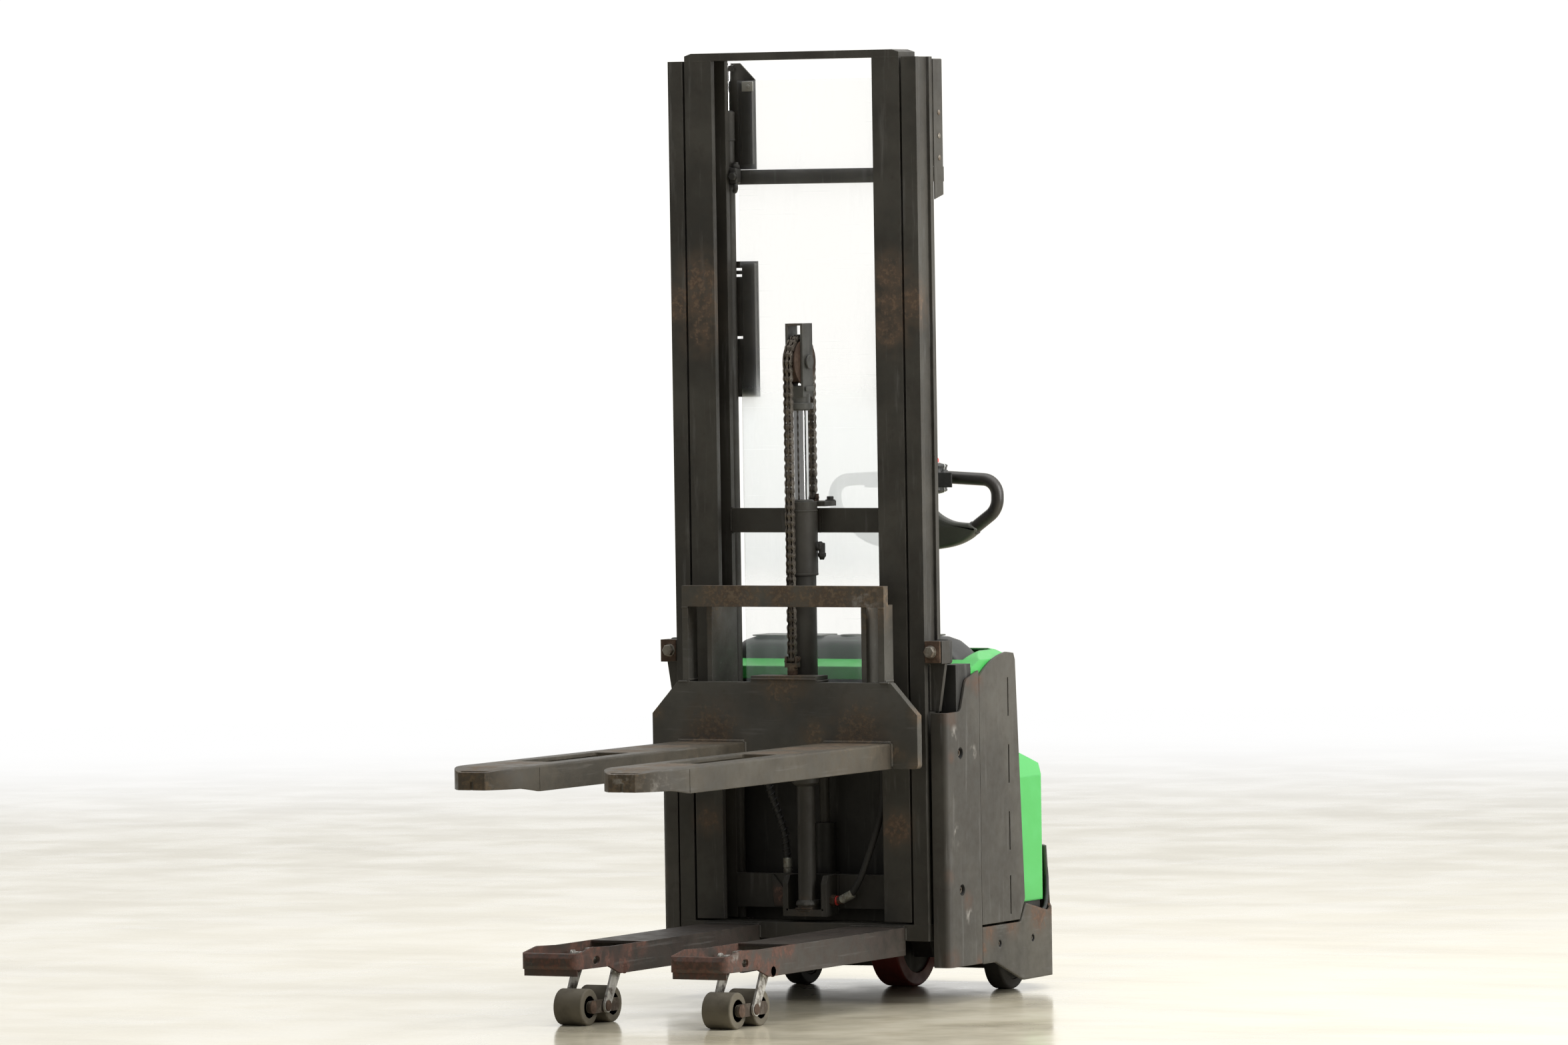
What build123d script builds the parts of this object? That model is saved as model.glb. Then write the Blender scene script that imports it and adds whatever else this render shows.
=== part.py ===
from build123d import *

import os
from math import asin, cos, degrees, hypot, radians, sin

os.makedirs("parts", exist_ok=True)

# Electric pedestrian stacker: drive chassis, raisable lift frame with support arms,
# telescopic mast with free-lift cylinder, chain and fork carriage.
# Millimetres. +Z is up and the forks point to -Y. Every Y below is measured from the
# carriage face (the heel of the forks), and X = 0 is the middle of the truck.

# ---- Overall sizes ----
fork_reach = 1154.0         # carriage face to fork tips
rear_reach = 785.0          # carriage face to the rear bumper
half_width = 385.0          # over the side panels
mast_height = 2255.0        # top plate of the lowered inner mast
heel_y = (fork_reach - rear_reach) / 2

# ---- Clearances ----
running = 0.05              # radial, pin or shaft in a bore
slip = 0.5                  # between parts that slide past each other
gap = 2.0                   # between fixed covers

# ---- Forks ----
fork_centre = 195.0
fork_width = 180.0
fork_top = 622.0
fork_height = 60.0
fork_sheet = 8.0
fork_taper = 158.0          # length of the cast tip
fork_nose = 34.0            # half width of the blunt nose
fork_nose_lift = 10.0       # the tip's lower edge stands this much higher
fork_slot_front = 866.0
fork_slot_rear = 490.0
fork_slot_width = 92.0

# ---- Carriage ----
plate_thick = 22.0
plate_half = 354.0
plate_shoulder = 688.0
plate_top = 764.0
plate_top_half = 285.0
bar_bottom = 942.0
bar_top = 992.0
bar_half = 270.0
post_width = 16.0
post_depth = 45.0
cheek_outer = 213.0         # roller cheeks run inside the inner mast
cheek_thick = 13.0
cheek_depth = 145.0
cheek_bottom = 612.0
boss_half = 87.0
boss_top = 779.0
anchor_top = 823.0

# ---- Mast ----
mast_front = 86.0
mast_back = 170.0
flange = 16.0
mast_mid = (mast_front + mast_back) / 2
outer_in, outer_out = 293.0, 332.0
outer_web_in, outer_web_out = 314.0, 324.0
outer_low, outer_high = 189.0, 2237.0
inner_in, inner_out = 215.0, 287.0
inner_web_in, inner_web_out = 252.0, 264.0
inner_low, inner_high = 194.0, 2237.0
roller_radius = (mast_back - mast_front) / 2 - flange - slip
roller_pin = 9.0
top_roller_z = 2190.0
bottom_roller_z = 245.0
carriage_roller_low = 642.0
carriage_roller_high = 925.0
mid_bar_low, mid_bar_high = 1113.0, 1171.0
upper_bar_low, upper_bar_high = 1942.0, 1977.0
lower_bar_low, lower_bar_high = 545.0, 575.0
bar_front, bar_back = 204.0, 224.0

# ---- Free-lift cylinder, rod, yoke, sheave and chain ----
cyl_y = 105.0
cyl_radius = 33.0
head_radius = 38.0
head_low, head_high = 1017.0, 1176.0
post_radius = 21.5
post_high = 520.0
foot_low = 219.0
flange_high = 1188.0
flange_back = 196.0
flange_half = 52.0
rod_radius = 19.0
rod_low = 640.0             # lower end of the rod at rest
rod_drop = 210.0            # how far the rod can still sink
rod_shoulder = 1408.0
cradle_half = 58.0          # outside the two ears at the cylinder's foot
yoke_low, yoke_high = 1443.0, 1611.0
yoke_inner, yoke_plate = 17.0, 6.0
yoke_depth = 50.0
yoke_strip = 5.0            # folded top between the two plates
sheave_z = 1519.0
sheave_pitch = 58.0
sheave_pin = 12.0
chain_half = 11.0
chain_plate = 16.0

hose_port_x, hose_port_y, hose_port_z = -93.0, 183.0, 262.0

# ---- Side lift cylinders ----
side_x, side_y = 232.0, 191.0
side_radius = 19.0
side_gland_low, side_gland_high = 2051.0, 2115.0
side_rod = 11.0

# ---- Support arms and load wheels ----
arm_centre = 195.0
arm_half = 75.0
arm_play = 3.0              # room beside each arm where the lowered carriage passes it
arm_wall = 6.0
arm_low, arm_high = 116.0, 182.0
arm_tip = 813.0
arm_deck_end = 480.0        # the deck is open over the wheels beyond this
wheel_radius = 42.5
wheel_half = 37.0
front_axle_y, rear_axle_y = -684.0, -570.0
axle_radius = 8.0
link_pivot_y, link_pivot_z = -579.0, 127.0
link_pin_y = (front_axle_y + rear_axle_y) / 2
link_pivot_radius = 12.0
link_pin_radius = 10.0
link_lever = 38.0
rod_pin_radius = 6.0
initial_drop = 95.0

link_dy = link_pivot_y - link_pin_y
link_dz = link_pivot_z - wheel_radius
link_length = hypot(link_dy, link_dz)
link_swing = degrees(asin(link_dz / link_length) + asin((initial_drop - link_dz) / link_length))
lever_lean = link_swing / 2
lever_y = link_pivot_y - link_lever * sin(radians(lever_lean))
lever_z = link_pivot_z + link_lever * cos(radians(lever_lean))

# ---- Chassis ----
sheet = 6.0
panel_inner = 341.0
panel_front, panel_seam, panel_strip = 95.0, 262.0, 414.0
panel_low, panel_step, panel_high = 87.0, 689.0, 784.0
rear_panel_low = 178.0
rear_panel_top = 820.0
skirt_wall = 8.0
skirt_corner_y, skirt_corner_x, skirt_rear_y = 633.0, 300.0, 763.0
floor_low, floor_high = 176.0, 188.0
bridge_low, bridge_high = 284.0, 300.0
bulkhead_front, bulkhead_back = 236.0, 243.0
battery_high = 690.0
hood_low, hood_wall = 760.0, 4.0
hood_tuck = 14.0            # the rear hood stands this far inside the skirt
hood_side_top = 488.0       # the rear hood slopes inwards above this
hood_crown = 598.0
console_front, console_back = 284.0, 430.0
console_half, console_top = 331.0, 862.0

# ---- Drive unit, casters and tiller ----
steer_y = 600.0
drive_radius, drive_half = 115.0, 37.5
drive_axle = 20.0
column_radius = 60.0
caster_x, caster_y = 275.0, 577.0
caster_trail = 20.0
caster_radius, caster_half = 75.0, 23.0
caster_stem = 16.0
caster_axle = 8.0
tiller_y, tiller_z = 700.0, 650.0
tiller_pin = 9.0
grip_radius = 15.5
grip_z = 1229.0
grip_half = 221.0           # middle of the outer grip tube
pod_half = 78.0
pod_low, pod_high = 1188.0, 1262.0
wing_low = 1050.0
button_half = 56.0


def level(z):
    """Horizontal plane at height z; its x, y are X and Y from the heel."""
    return Plane(origin=(0, heel_y, z))


def section(x):
    """Upright plane across X; its x, y are Y from the heel and Z."""
    return Plane(origin=(x, heel_y, 0), x_dir=(0, 1, 0), z_dir=(1, 0, 0))


def facing(y):
    """Upright plane seen from the forks; its x, y are X and Z, its normal is -Y."""
    return Plane(origin=(0, heel_y + y, 0), x_dir=(1, 0, 0), z_dir=(0, -1, 0))


def rect(x0, x1, y0, y1, mode=Mode.ADD):
    with Locations(((x0 + x1) / 2, (y0 + y1) / 2)):
        Rectangle(x1 - x0, y1 - y0, mode=mode)


def slab(x0, x1, y0, y1, z0, z1, mode=Mode.ADD):
    with BuildSketch(level(z0)) as profile:
        rect(x0, x1, y0, y1)
    extrude(profile.sketch, amount=z1 - z0, mode=mode)


def bar_x(y, z, radius, x0, x1, mode=Mode.ADD):
    with BuildSketch(section(x0)) as profile:
        with Locations((y, z)):
            Circle(radius)
    extrude(profile.sketch, amount=x1 - x0, mode=mode)


def bar_y(x, z, radius, y0, y1, mode=Mode.ADD):
    with BuildSketch(facing(y1)) as profile:
        with Locations((x, z)):
            Circle(radius)
    extrude(profile.sketch, amount=y1 - y0, mode=mode)


def bar_z(x, y, radius, z0, z1, mode=Mode.ADD):
    with BuildSketch(level(z0)) as profile:
        with Locations((x, y)):
            Circle(radius)
    extrude(profile.sketch, amount=z1 - z0, mode=mode)


def side_plate(points, x0, x1, mode=Mode.ADD):
    with BuildSketch(section(x0)) as profile:
        with BuildLine():
            Polyline(*points, close=True)
        make_face()
    extrude(profile.sketch, amount=x1 - x0, mode=mode)


def front_plate(points, y0, y1, mode=Mode.ADD):
    with BuildSketch(facing(y1)) as profile:
        with BuildLine():
            Polyline(*points, close=True)
        make_face()
    extrude(profile.sketch, amount=y1 - y0, mode=mode)


def keep(piece, name):
    piece.part.label = name
    export_step(piece.part, f"parts/{name}.step")


sides = (("left", -1), ("right", 1))


# ======== Fork carriage ========

def fork_outline(inset):
    """Plan of one fork about its own centre, narrowing to a blunt rounded nose."""
    half = fork_width / 2 - inset
    nose = fork_nose - inset / 2
    tip = -fork_reach + inset
    start = -fork_reach + fork_taper
    with BuildLine() as outline:
        Polyline((-half, start), (-half, 0), (half, 0), (half, start))
        ThreePointArc((half, start), (half * 0.84, (start + tip) / 2 - 22), (nose, tip))
        Line((nose, tip), (-nose, tip))
        ThreePointArc((-nose, tip), (-half * 0.84, (start + tip) / 2 - 22), (-half, start))
    make_face(outline.edges())


def fork(side):
    centre = side * fork_centre
    low = fork_top - fork_height
    deck = fork_top - fork_sheet
    taper_y = -fork_reach + fork_taper
    with BuildPart() as piece:
        with BuildSketch(Plane(origin=(centre, heel_y, low))):
            fork_outline(0)
        extrude(amount=fork_height)
        edge = piece.faces().sort_by(Axis.Z)[-1].edges().filter_by(lambda e: e.center().Y < heel_y - 1)
        fillet(edge, radius=5)
        with BuildSketch(Plane(origin=(centre, heel_y, low))):
            fork_outline(fork_sheet)
        extrude(amount=fork_height - fork_sheet, mode=Mode.SUBTRACT)
        with BuildSketch(Plane(origin=(centre, heel_y, deck - 1))):
            with Locations((0, -(fork_slot_front + fork_slot_rear) / 2)):
                RectangleRounded(fork_slot_width, fork_slot_front - fork_slot_rear, 8)
        extrude(amount=fork_sheet + 2, mode=Mode.SUBTRACT)
        nose_cut = [(taper_y, low - 1), (taper_y, low), (taper_y - 75, low + fork_nose_lift),
                    (-fork_reach - 1, low + fork_nose_lift), (-fork_reach - 1, low - 1)]
        side_plate(nose_cut, centre - fork_width, centre + fork_width, mode=Mode.SUBTRACT)
        nose_slope = [(-fork_reach + 70, fork_top + 1), (-fork_reach + 70, fork_top),
                      (-fork_reach - 1, fork_top - 10), (-fork_reach - 1, fork_top + 1)]
        side_plate(nose_slope, centre - fork_width, centre + fork_width, mode=Mode.SUBTRACT)
        slab(centre - 4, centre + 4, -fork_reach - 1, -fork_reach + fork_sheet + 1,
             low, low + fork_nose_lift + 20, mode=Mode.SUBTRACT)
    return piece


for name, side in sides:
    keep(fork(side), f"fork_{name}")

with BuildPart() as carriage_frame:
    plate_low = fork_top - fork_height
    front_plate([(-plate_half, plate_low), (plate_half, plate_low), (plate_half, plate_shoulder),
                 (plate_top_half, plate_top), (-plate_top_half, plate_top),
                 (-plate_half, plate_shoulder)], 0, plate_thick)
    corners = carriage_frame.edges().filter_by(Axis.Y).group_by(Axis.Z)[0]
    fillet(corners, radius=10)
    for side in (-1, 1):
        centre = side * arm_centre
        slab(centre - arm_half - arm_play, centre + arm_half + arm_play, -1, plate_thick + 1,
             plate_low - 1, fork_top - fork_sheet, mode=Mode.SUBTRACT)
    slab(-bar_half, bar_half, 0, plate_thick, bar_bottom, bar_top)
    for side in (-1, 1):
        outer = side * bar_half
        inner = side * (bar_half - post_width)
        slab(min(outer, inner), max(outer, inner), 0, post_depth, plate_top - 5, bar_bottom + 5)
        outer = side * cheek_outer
        inner = side * (cheek_outer - cheek_thick)
        cheek = [(plate_thick - 4, cheek_bottom), (cheek_depth, cheek_bottom + 20),
                 (cheek_depth, bar_bottom + 12), (110, bar_top - 8), (plate_thick - 4, bar_top - 8)]
        side_plate(cheek, min(outer, inner), max(outer, inner))
        for roller_z in (carriage_roller_low, carriage_roller_high):
            end = side * (inner_web_in - 6)
            bar_x(mast_mid, roller_z, roller_pin, min(outer, end), max(outer, end))
    slab(-boss_half, boss_half, plate_thick - 4, 60, plate_top - 40, boss_top)
    slab(-boss_half, boss_half, 0, plate_thick, plate_top - 10, boss_top)
    chain_y = cyl_y - sheave_pitch
    bar_z(0, chain_y, 12, boss_top - 4, anchor_top - 24)
    slab(-16, 16, chain_y - 9, chain_y + 9, anchor_top - 26, anchor_top)
    slab(-chain_half - slip, chain_half + slip, chain_y - 10, chain_y + 10,
         anchor_top - 16, anchor_top + 1, mode=Mode.SUBTRACT)
keep(carriage_frame, "carriage_frame")


def roller_pair(x0, x1, y, z):
    """Left and right mast rollers on one axis, each on its own stub axle."""
    with BuildPart() as pair:
        for side in (-1, 1):
            low, high = min(side * x0, side * x1), max(side * x0, side * x1)
            bar_x(y, z, roller_radius, low, high)
            bar_x(y, z, roller_pin + running, low, high, mode=Mode.SUBTRACT)
        rims = pair.edges().filter_by(GeomType.CIRCLE)
        chamfer(rims.filter_by(lambda e: abs(e.radius - roller_radius) < 0.1), length=2)
    return pair


roller_in = cheek_outer + 4
roller_out = inner_web_in - 6
keep(roller_pair(roller_in, roller_out, mast_mid, carriage_roller_high), "carriage_rollers_upper")
keep(roller_pair(roller_in, roller_out, mast_mid, carriage_roller_low), "carriage_rollers_lower")


# ======== Lift chain, sheave and free-lift rod ========

front_strand_y = cyl_y - sheave_pitch
rear_strand_y = cyl_y + sheave_pitch

with BuildPart() as chain_front:
    slab(-chain_half, chain_half, front_strand_y - chain_plate / 2, front_strand_y + chain_plate / 2,
         anchor_top - 14, sheave_z)
keep(chain_front, "chain_front")

with BuildPart() as chain_rear:
    slab(-chain_half, chain_half, rear_strand_y - chain_plate / 2, rear_strand_y + chain_plate / 2,
         flange_high, sheave_z)
keep(chain_rear, "chain_rear")

with BuildPart() as chain_wrap:
    bar_x(cyl_y, sheave_z, sheave_pitch + chain_plate / 2, -chain_half, chain_half)
    bar_x(cyl_y, sheave_z, sheave_pitch - chain_plate / 2, -chain_half, chain_half, mode=Mode.SUBTRACT)
    reach = sheave_pitch + chain_plate
    slab(-20, 20, cyl_y - reach, cyl_y + reach, sheave_z - reach, sheave_z, mode=Mode.SUBTRACT)
keep(chain_wrap, "chain_wrap")

with BuildPart() as chain_sheave:
    bar_x(cyl_y, sheave_z, sheave_pitch - chain_plate / 2 - 0.3, -yoke_inner + 2, yoke_inner - 2)
    for x0, x1 in ((-yoke_inner + 1, -chain_half - 1.5), (chain_half + 1.5, yoke_inner - 1)):
        bar_x(cyl_y, sheave_z, sheave_pitch - 4, x0, x1)
    bar_x(cyl_y, sheave_z, sheave_pin + running, -yoke_inner, yoke_inner, mode=Mode.SUBTRACT)
keep(chain_sheave, "chain_sheave")

with BuildPart() as lift_rod:
    bar_z(0, cyl_y, rod_radius, rod_low, rod_shoulder)
keep(lift_rod, "lift_rod")

with BuildPart() as yoke:
    bar_z(0, cyl_y, head_radius - 6, rod_shoulder, rod_shoulder + 14)
    bar_z(0, cyl_y, rod_radius + 6, rod_shoulder + 14, yoke_low)
    slab(-yoke_inner - yoke_plate, yoke_inner + yoke_plate, cyl_y - yoke_depth / 2,
         cyl_y + yoke_depth / 2, yoke_low - 6, yoke_high)
    slab(-yoke_inner, yoke_inner, cyl_y - yoke_depth, cyl_y + yoke_depth,
         sheave_z - sheave_pitch + 2, yoke_high - yoke_strip, mode=Mode.SUBTRACT)
    bar_x(cyl_y, sheave_z, sheave_pin, -yoke_inner - yoke_plate - 5, yoke_inner + yoke_plate + 5)
keep(yoke, "yoke")


# ======== Inner mast ========

def i_section(x_in, x_out, web_in, web_out, low, high):
    """Both uprights of a mast stage: I sections with flanges across Y."""
    with BuildPart() as pair:
        with BuildSketch(level(low)):
            for side in (-1, 1):
                edges = sorted((side * x_in, side * x_out))
                web = sorted((side * web_in, side * web_out))
                rect(edges[0], edges[1], mast_front, mast_front + flange)
                rect(edges[0], edges[1], mast_back - flange, mast_back)
                rect(web[0], web[1], mast_front + 1, mast_back - 1)
        extrude(amount=high - low)
    return pair


inner_pair = i_section(inner_in, inner_out, inner_web_in, inner_web_out, inner_low, inner_high)
with BuildPart() as inner_uprights:
    add(inner_pair.part)
    for side in (-1, 1):
        stub = sorted((side * (inner_web_out - 2), side * (outer_web_in - 1.5)))
        bar_x(mast_mid, bottom_roller_z, roller_pin, stub[0], stub[1])
keep(inner_uprights, "inner_uprights")

with BuildPart() as inner_crossbars:
    cut = 18
    front_plate([(-inner_out, inner_high), (inner_out, inner_high), (inner_out, mast_height - 6),
                 (inner_out - cut, mast_height), (-inner_out + cut, mast_height),
                 (-inner_out, mast_height - 6)], mast_front, mast_back)
    slab(-inner_in, inner_in, mast_back - 18, mast_back, mid_bar_low, mid_bar_high)
    slab(-inner_in, inner_in, mast_back - 18, mast_back, foot_low, foot_low + 81)
    slab(-inner_in, inner_in, mast_back - 20, mast_back, 585, 608)
    port_half = 12
    slab(hose_port_x - port_half, hose_port_x + port_half, mast_back - 4, hose_port_y + port_half,
         foot_low + 17, hose_port_z)
    slab(-30, 30, cyl_y + head_radius, mast_back - 18, mid_bar_low, mid_bar_high)
keep(inner_crossbars, "inner_crossbars")

with BuildPart() as cylinder_cradle:
    slab(-cradle_half, cradle_half, mast_front + 4, mast_back - 18, foot_low - 16, foot_low)
    for side in (-1, 1):
        ear = sorted((side * cradle_half, side * (cradle_half - 14)))
        ear_shape = [(mast_front + 4, foot_low - 4), (mast_back - 18, foot_low - 4),
                     (mast_back - 18, foot_low + 81), (mast_front + 16, foot_low + 81),
                     (mast_front + 4, foot_low + 62)]
        side_plate(ear_shape, ear[0], ear[1])

with BuildPart() as lift_cylinder:
    add(cylinder_cradle.part)
    bar_z(0, cyl_y + 8, post_radius + 6, foot_low - 4, foot_low + 22)
    bar_z(0, cyl_y, post_radius, foot_low + 10, post_high + 10)
    bar_z(0, cyl_y, cyl_radius, post_high, head_low + 5)
    bar_z(0, cyl_y, head_radius, head_low, head_high)
    with BuildSketch(level(head_high)):
        with Locations((0, cyl_y)):
            Circle(head_radius)
        rect(-flange_half, flange_half, cyl_y + 20, flange_back)
        fillet(vertices().group_by(Axis.Y)[-1], radius=16)
    extrude(amount=flange_high - head_high)
    bar_z(0, cyl_y, rod_radius + running, rod_low - rod_drop - 5, flange_high + 1, mode=Mode.SUBTRACT)
keep(lift_cylinder, "lift_cylinder")

with BuildPart() as side_rods:
    for side in (-1, 1):
        bar_z(side * side_x, side_y, side_rod, 230, inner_high - 40)
        bar_z(side * side_x, side_y, side_rod + 4, inner_high - 48, inner_high - 4)
        lug = sorted((side * (inner_in + 2), side * (inner_out - 30)))
        slab(lug[0], lug[1], mast_back, side_y + 17, inner_high - 24, inner_high - 10)
keep(side_rods, "side_rods")

keep(roller_pair(inner_out + 7, outer_web_in - 2, mast_mid, bottom_roller_z), "inner_rollers")

# Hydraulic hoses clipped between the cylinder foot and the bracket bar above it.
hose_radius = 8.0
hose_y = mast_back - 10
hose_routes = (
    ((hose_port_x, hose_port_y, hose_port_z), (hose_port_x, hose_port_y, 345), (-100, 178, 410),
     (-126, 164, 490), (-140, hose_y, 545), (-140, hose_y, 585)),
    ((cradle_half, 118, 240), (100, 118, 240), (138, 114, 290), (166, 120, 370), (184, 142, 450),
     (178, hose_y, 520), (178, hose_y, 585)),
)


def arc_radii(points):
    """The largest tangent arc at each corner that its two runs leave room for."""
    radii = []
    for before, here, after in zip(points, points[1:], points[2:]):
        run_in = Vector(*here) - Vector(*before)
        run_out = Vector(*after) - Vector(*here)
        half_turn = radians(run_in.get_angle(run_out) / 2)
        shorter = min(run_in.length, run_out.length)
        radii.append(0.45 * shorter * cos(half_turn) / sin(half_turn))
    return radii


with BuildPart() as hydraulic_hoses:
    for route in hose_routes:
        placed = [(x, y + heel_y, z) for x, y, z in route]
        radii = arc_radii(placed)
        with BuildLine() as path:
            FilletPolyline(*placed, radius=radii)
        with BuildSketch(Plane(origin=path.line @ 0, z_dir=path.line % 0)) as ring:
            Circle(hose_radius)
        sweep(ring.sketch, path=path.line)
keep(hydraulic_hoses, "hydraulic_hoses")


# ======== Lift frame: outer mast, support arms, guards ========

outer_pair = i_section(outer_in, outer_out, outer_web_in, outer_web_out, outer_low, outer_high)
lug_out, lug_low, lug_high = 377.0, 806.0, 859.0
with BuildPart() as outer_uprights:
    add(outer_pair.part)
    for side in (-1, 1):
        stub = sorted((side * (outer_web_in + 2), side * (inner_web_out + 1.5)))
        bar_x(mast_mid, top_roller_z, roller_pin, stub[0], stub[1])
        lug = sorted((side * (outer_out - 2), side * lug_out))
        slab(lug[0], lug[1], mast_front + 2, 128, lug_low, lug_high)
        front_plate([(side * (outer_out - 2), 692), (side * (lug_out - 22), 692),
                     (side * (lug_out - 4), lug_low + 4), (side * (outer_out - 2), lug_low + 4)],
                    112, 124)
keep(outer_uprights, "outer_uprights")

with BuildPart() as outer_crossbars:
    slab(-outer_out, outer_out, mast_front, mast_back, 150, outer_low)
    for side in (-1, 1):
        shelf = sorted((side * (side_x - 28), side * (side_x + 28)))
        slab(shelf[0], shelf[1], mast_back - 5, side_y + 22, 150, outer_low)
        for low, high in ((upper_bar_low, upper_bar_high), (lower_bar_low, lower_bar_high)):
            ear = sorted((side * (outer_out - 16), side * outer_out))
            slab(ear[0], ear[1], mast_back, bar_back, low, high)
    for low, high in ((upper_bar_low, upper_bar_high), (lower_bar_low, lower_bar_high)):
        slab(-outer_out, outer_out, bar_front, bar_back, low, high)
        for side in (-1, 1):
            bar_z(side * side_x, side_y, side_radius + slip, low - 1, high + 1, mode=Mode.SUBTRACT)
    bar_z(0, 200, 12, 345, lower_bar_low)
    slab(-24, 24, 186, bar_front + 2, lower_bar_low, lower_bar_high)
keep(outer_crossbars, "outer_crossbars")

keep(roller_pair(inner_web_out + 3, inner_out - 1.5, mast_mid, top_roller_z), "outer_rollers")

with BuildPart() as side_cylinders:
    for side in (-1, 1):
        bar_z(side * side_x, side_y, side_radius, outer_low, side_gland_low)
        bar_z(side * side_x, side_y, side_radius + 1, side_gland_low, side_gland_high)
        bar_z(side * side_x, side_y, side_rod + slip, 215, side_gland_high + 1, mode=Mode.SUBTRACT)
keep(side_cylinders, "side_cylinders")


def support_arm(side):
    """U section arm, open below, with an open top over the tandem wheels."""
    centre = side * arm_centre
    profile = [(mast_front, arm_low), (-600, arm_low), (-655, arm_low + 20),
               (-arm_tip + 6, arm_low + 22), (-arm_tip, arm_low + 30), (-arm_tip, arm_high - 18),
               (-arm_tip + 8, arm_high - 8), (-735, arm_high + 4), (-640, arm_high),
               (mast_front, arm_high)]
    with BuildPart() as piece:
        side_plate(profile, centre - arm_half, centre + arm_half)
        uprights = piece.edges().filter_by(Axis.Z)
        tip_corners = uprights.filter_by(lambda e: e.center().Y < heel_y - arm_tip + 1)
        fillet(tip_corners, radius=22)
        slab(centre - arm_half + arm_wall, centre + arm_half - arm_wall, -arm_tip + 16, -1,
             arm_low - 1, arm_high - arm_wall, mode=Mode.SUBTRACT)
        slab(centre - arm_half + arm_wall, centre + arm_half - arm_wall, -arm_tip + 16, -arm_deck_end,
             arm_high - arm_wall - 1, arm_high + 10, mode=Mode.SUBTRACT)
        slab(centre - 20, centre + 20, -2, 60, lever_z - 14, lever_z + 12, mode=Mode.SUBTRACT)
        for inward in (-1, 1):
            wall = centre + inward * (arm_half - arm_wall / 2)
            stub = centre + inward * (wheel_half + 10)
            bar_x(link_pivot_y, link_pivot_z, link_pivot_radius, min(wall, stub), max(wall, stub))
        with BuildSketch(section(centre - arm_half - 1)):
            with Locations((-716, 155)):
                SlotOverall(30, 18)
        extrude(amount=2 * arm_half + 2, mode=Mode.SUBTRACT)
    return piece


for name, side in sides:
    keep(support_arm(side), f"support_arm_{name}")

with BuildPart() as guard_screen:
    slab(-205, 205, 198.5, 202.5, 590, 2190)
keep(guard_screen, "guard_screen")

with BuildPart() as rear_guards:
    for side in (-1, 1):
        inner, outer = side * 165, side * outer_out
        guard = [(inner, 1978), (outer, 1978), (outer, 2232), (side * 205, 2232), (inner, 2192)]
        front_plate(guard, 213, 217)
        ear = sorted((outer, side * (outer_out - 4)))
        slab(ear[0], ear[1], mast_back, 216, 1978, 2232)
        bar_x(180, 2188, 6.5, ear[0] - 1, ear[1] + 1, mode=Mode.SUBTRACT)
        slab(ear[0] - 1, ear[1] + 1, 175, 180, 2208, 2224, mode=Mode.SUBTRACT)
        bracket = sorted((side * 165, side * 250))
        slab(bracket[0], bracket[1], 213, 217, 1435, 1759)
        for slot_z in (1740, 1725, 1577):
            slab(side * 208 - 22, side * 208 + 22, 212, 218, slot_z - 3, slot_z + 3, mode=Mode.SUBTRACT)
        for low, high in ((1440, 1754), (1990, 2185)):
            pad = sorted((side * 168, side * 202))
            slab(pad[0], pad[1], 202.5, 214, low, high)
keep(rear_guards, "rear_guards")


# ======== Load wheel linkage ========

with BuildPart() as wheel_links:
    for side in (-1, 1):
        for inward in (-1, 1):
            near = side * arm_centre + inward * (wheel_half + 12)
            far = side * arm_centre + inward * (wheel_half + 18)
            low, high = min(near, far), max(near, far)
            blade = [(link_pivot_y - 17, link_pivot_z + 8), (link_pin_y - 14, wheel_radius + 6),
                     (link_pin_y + 4, wheel_radius - 14), (link_pivot_y + 18, link_pivot_z - 6)]
            side_plate(blade, low, high)
            for y, z, radius in ((link_pivot_y, link_pivot_z, 19), (link_pin_y, wheel_radius, 16),
                                 (lever_y, lever_z, 10)):
                bar_x(y, z, radius, low, high)
            lever = [(link_pivot_y - 17, link_pivot_z + 8), (link_pivot_y + 14, link_pivot_z + 12),
                     (lever_y + 10, lever_z), (lever_y - 9, lever_z - 4)]
            side_plate(lever, low, high)
            bar_x(link_pivot_y, link_pivot_z, link_pivot_radius + running, low, high, mode=Mode.SUBTRACT)
            bar_x(link_pin_y, wheel_radius, link_pin_radius + running, low, high, mode=Mode.SUBTRACT)
        reach = wheel_half + 15
        bar_x(lever_y, lever_z, rod_pin_radius, side * arm_centre - reach, side * arm_centre + reach)
keep(wheel_links, "wheel_links")

with BuildPart() as pivot_pins:
    for side in (-1, 1):
        reach = wheel_half + 20
        centre = side * arm_centre
        bar_x(link_pin_y, wheel_radius, link_pin_radius, centre - reach, centre + reach)
keep(pivot_pins, "pivot_pins")


def bogie(side):
    centre = side * arm_centre
    with BuildPart() as piece:
        for inward in (-1, 1):
            near, far = centre + inward * (wheel_half + 3), centre + inward * (wheel_half + 9)
            low, high = min(near, far), max(near, far)
            side_plate([(front_axle_y, wheel_radius - 15), (rear_axle_y, wheel_radius - 15),
                        (rear_axle_y, wheel_radius + 15), (front_axle_y, wheel_radius + 15)], low, high)
            for y in (front_axle_y, rear_axle_y):
                bar_x(y, wheel_radius, 15, low, high)
            bar_x(link_pin_y, wheel_radius, link_pin_radius + running, low, high, mode=Mode.SUBTRACT)
        for y in (front_axle_y, rear_axle_y):
            bar_x(y, wheel_radius, axle_radius, centre - wheel_half - 8, centre + wheel_half + 8)
    return piece


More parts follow.
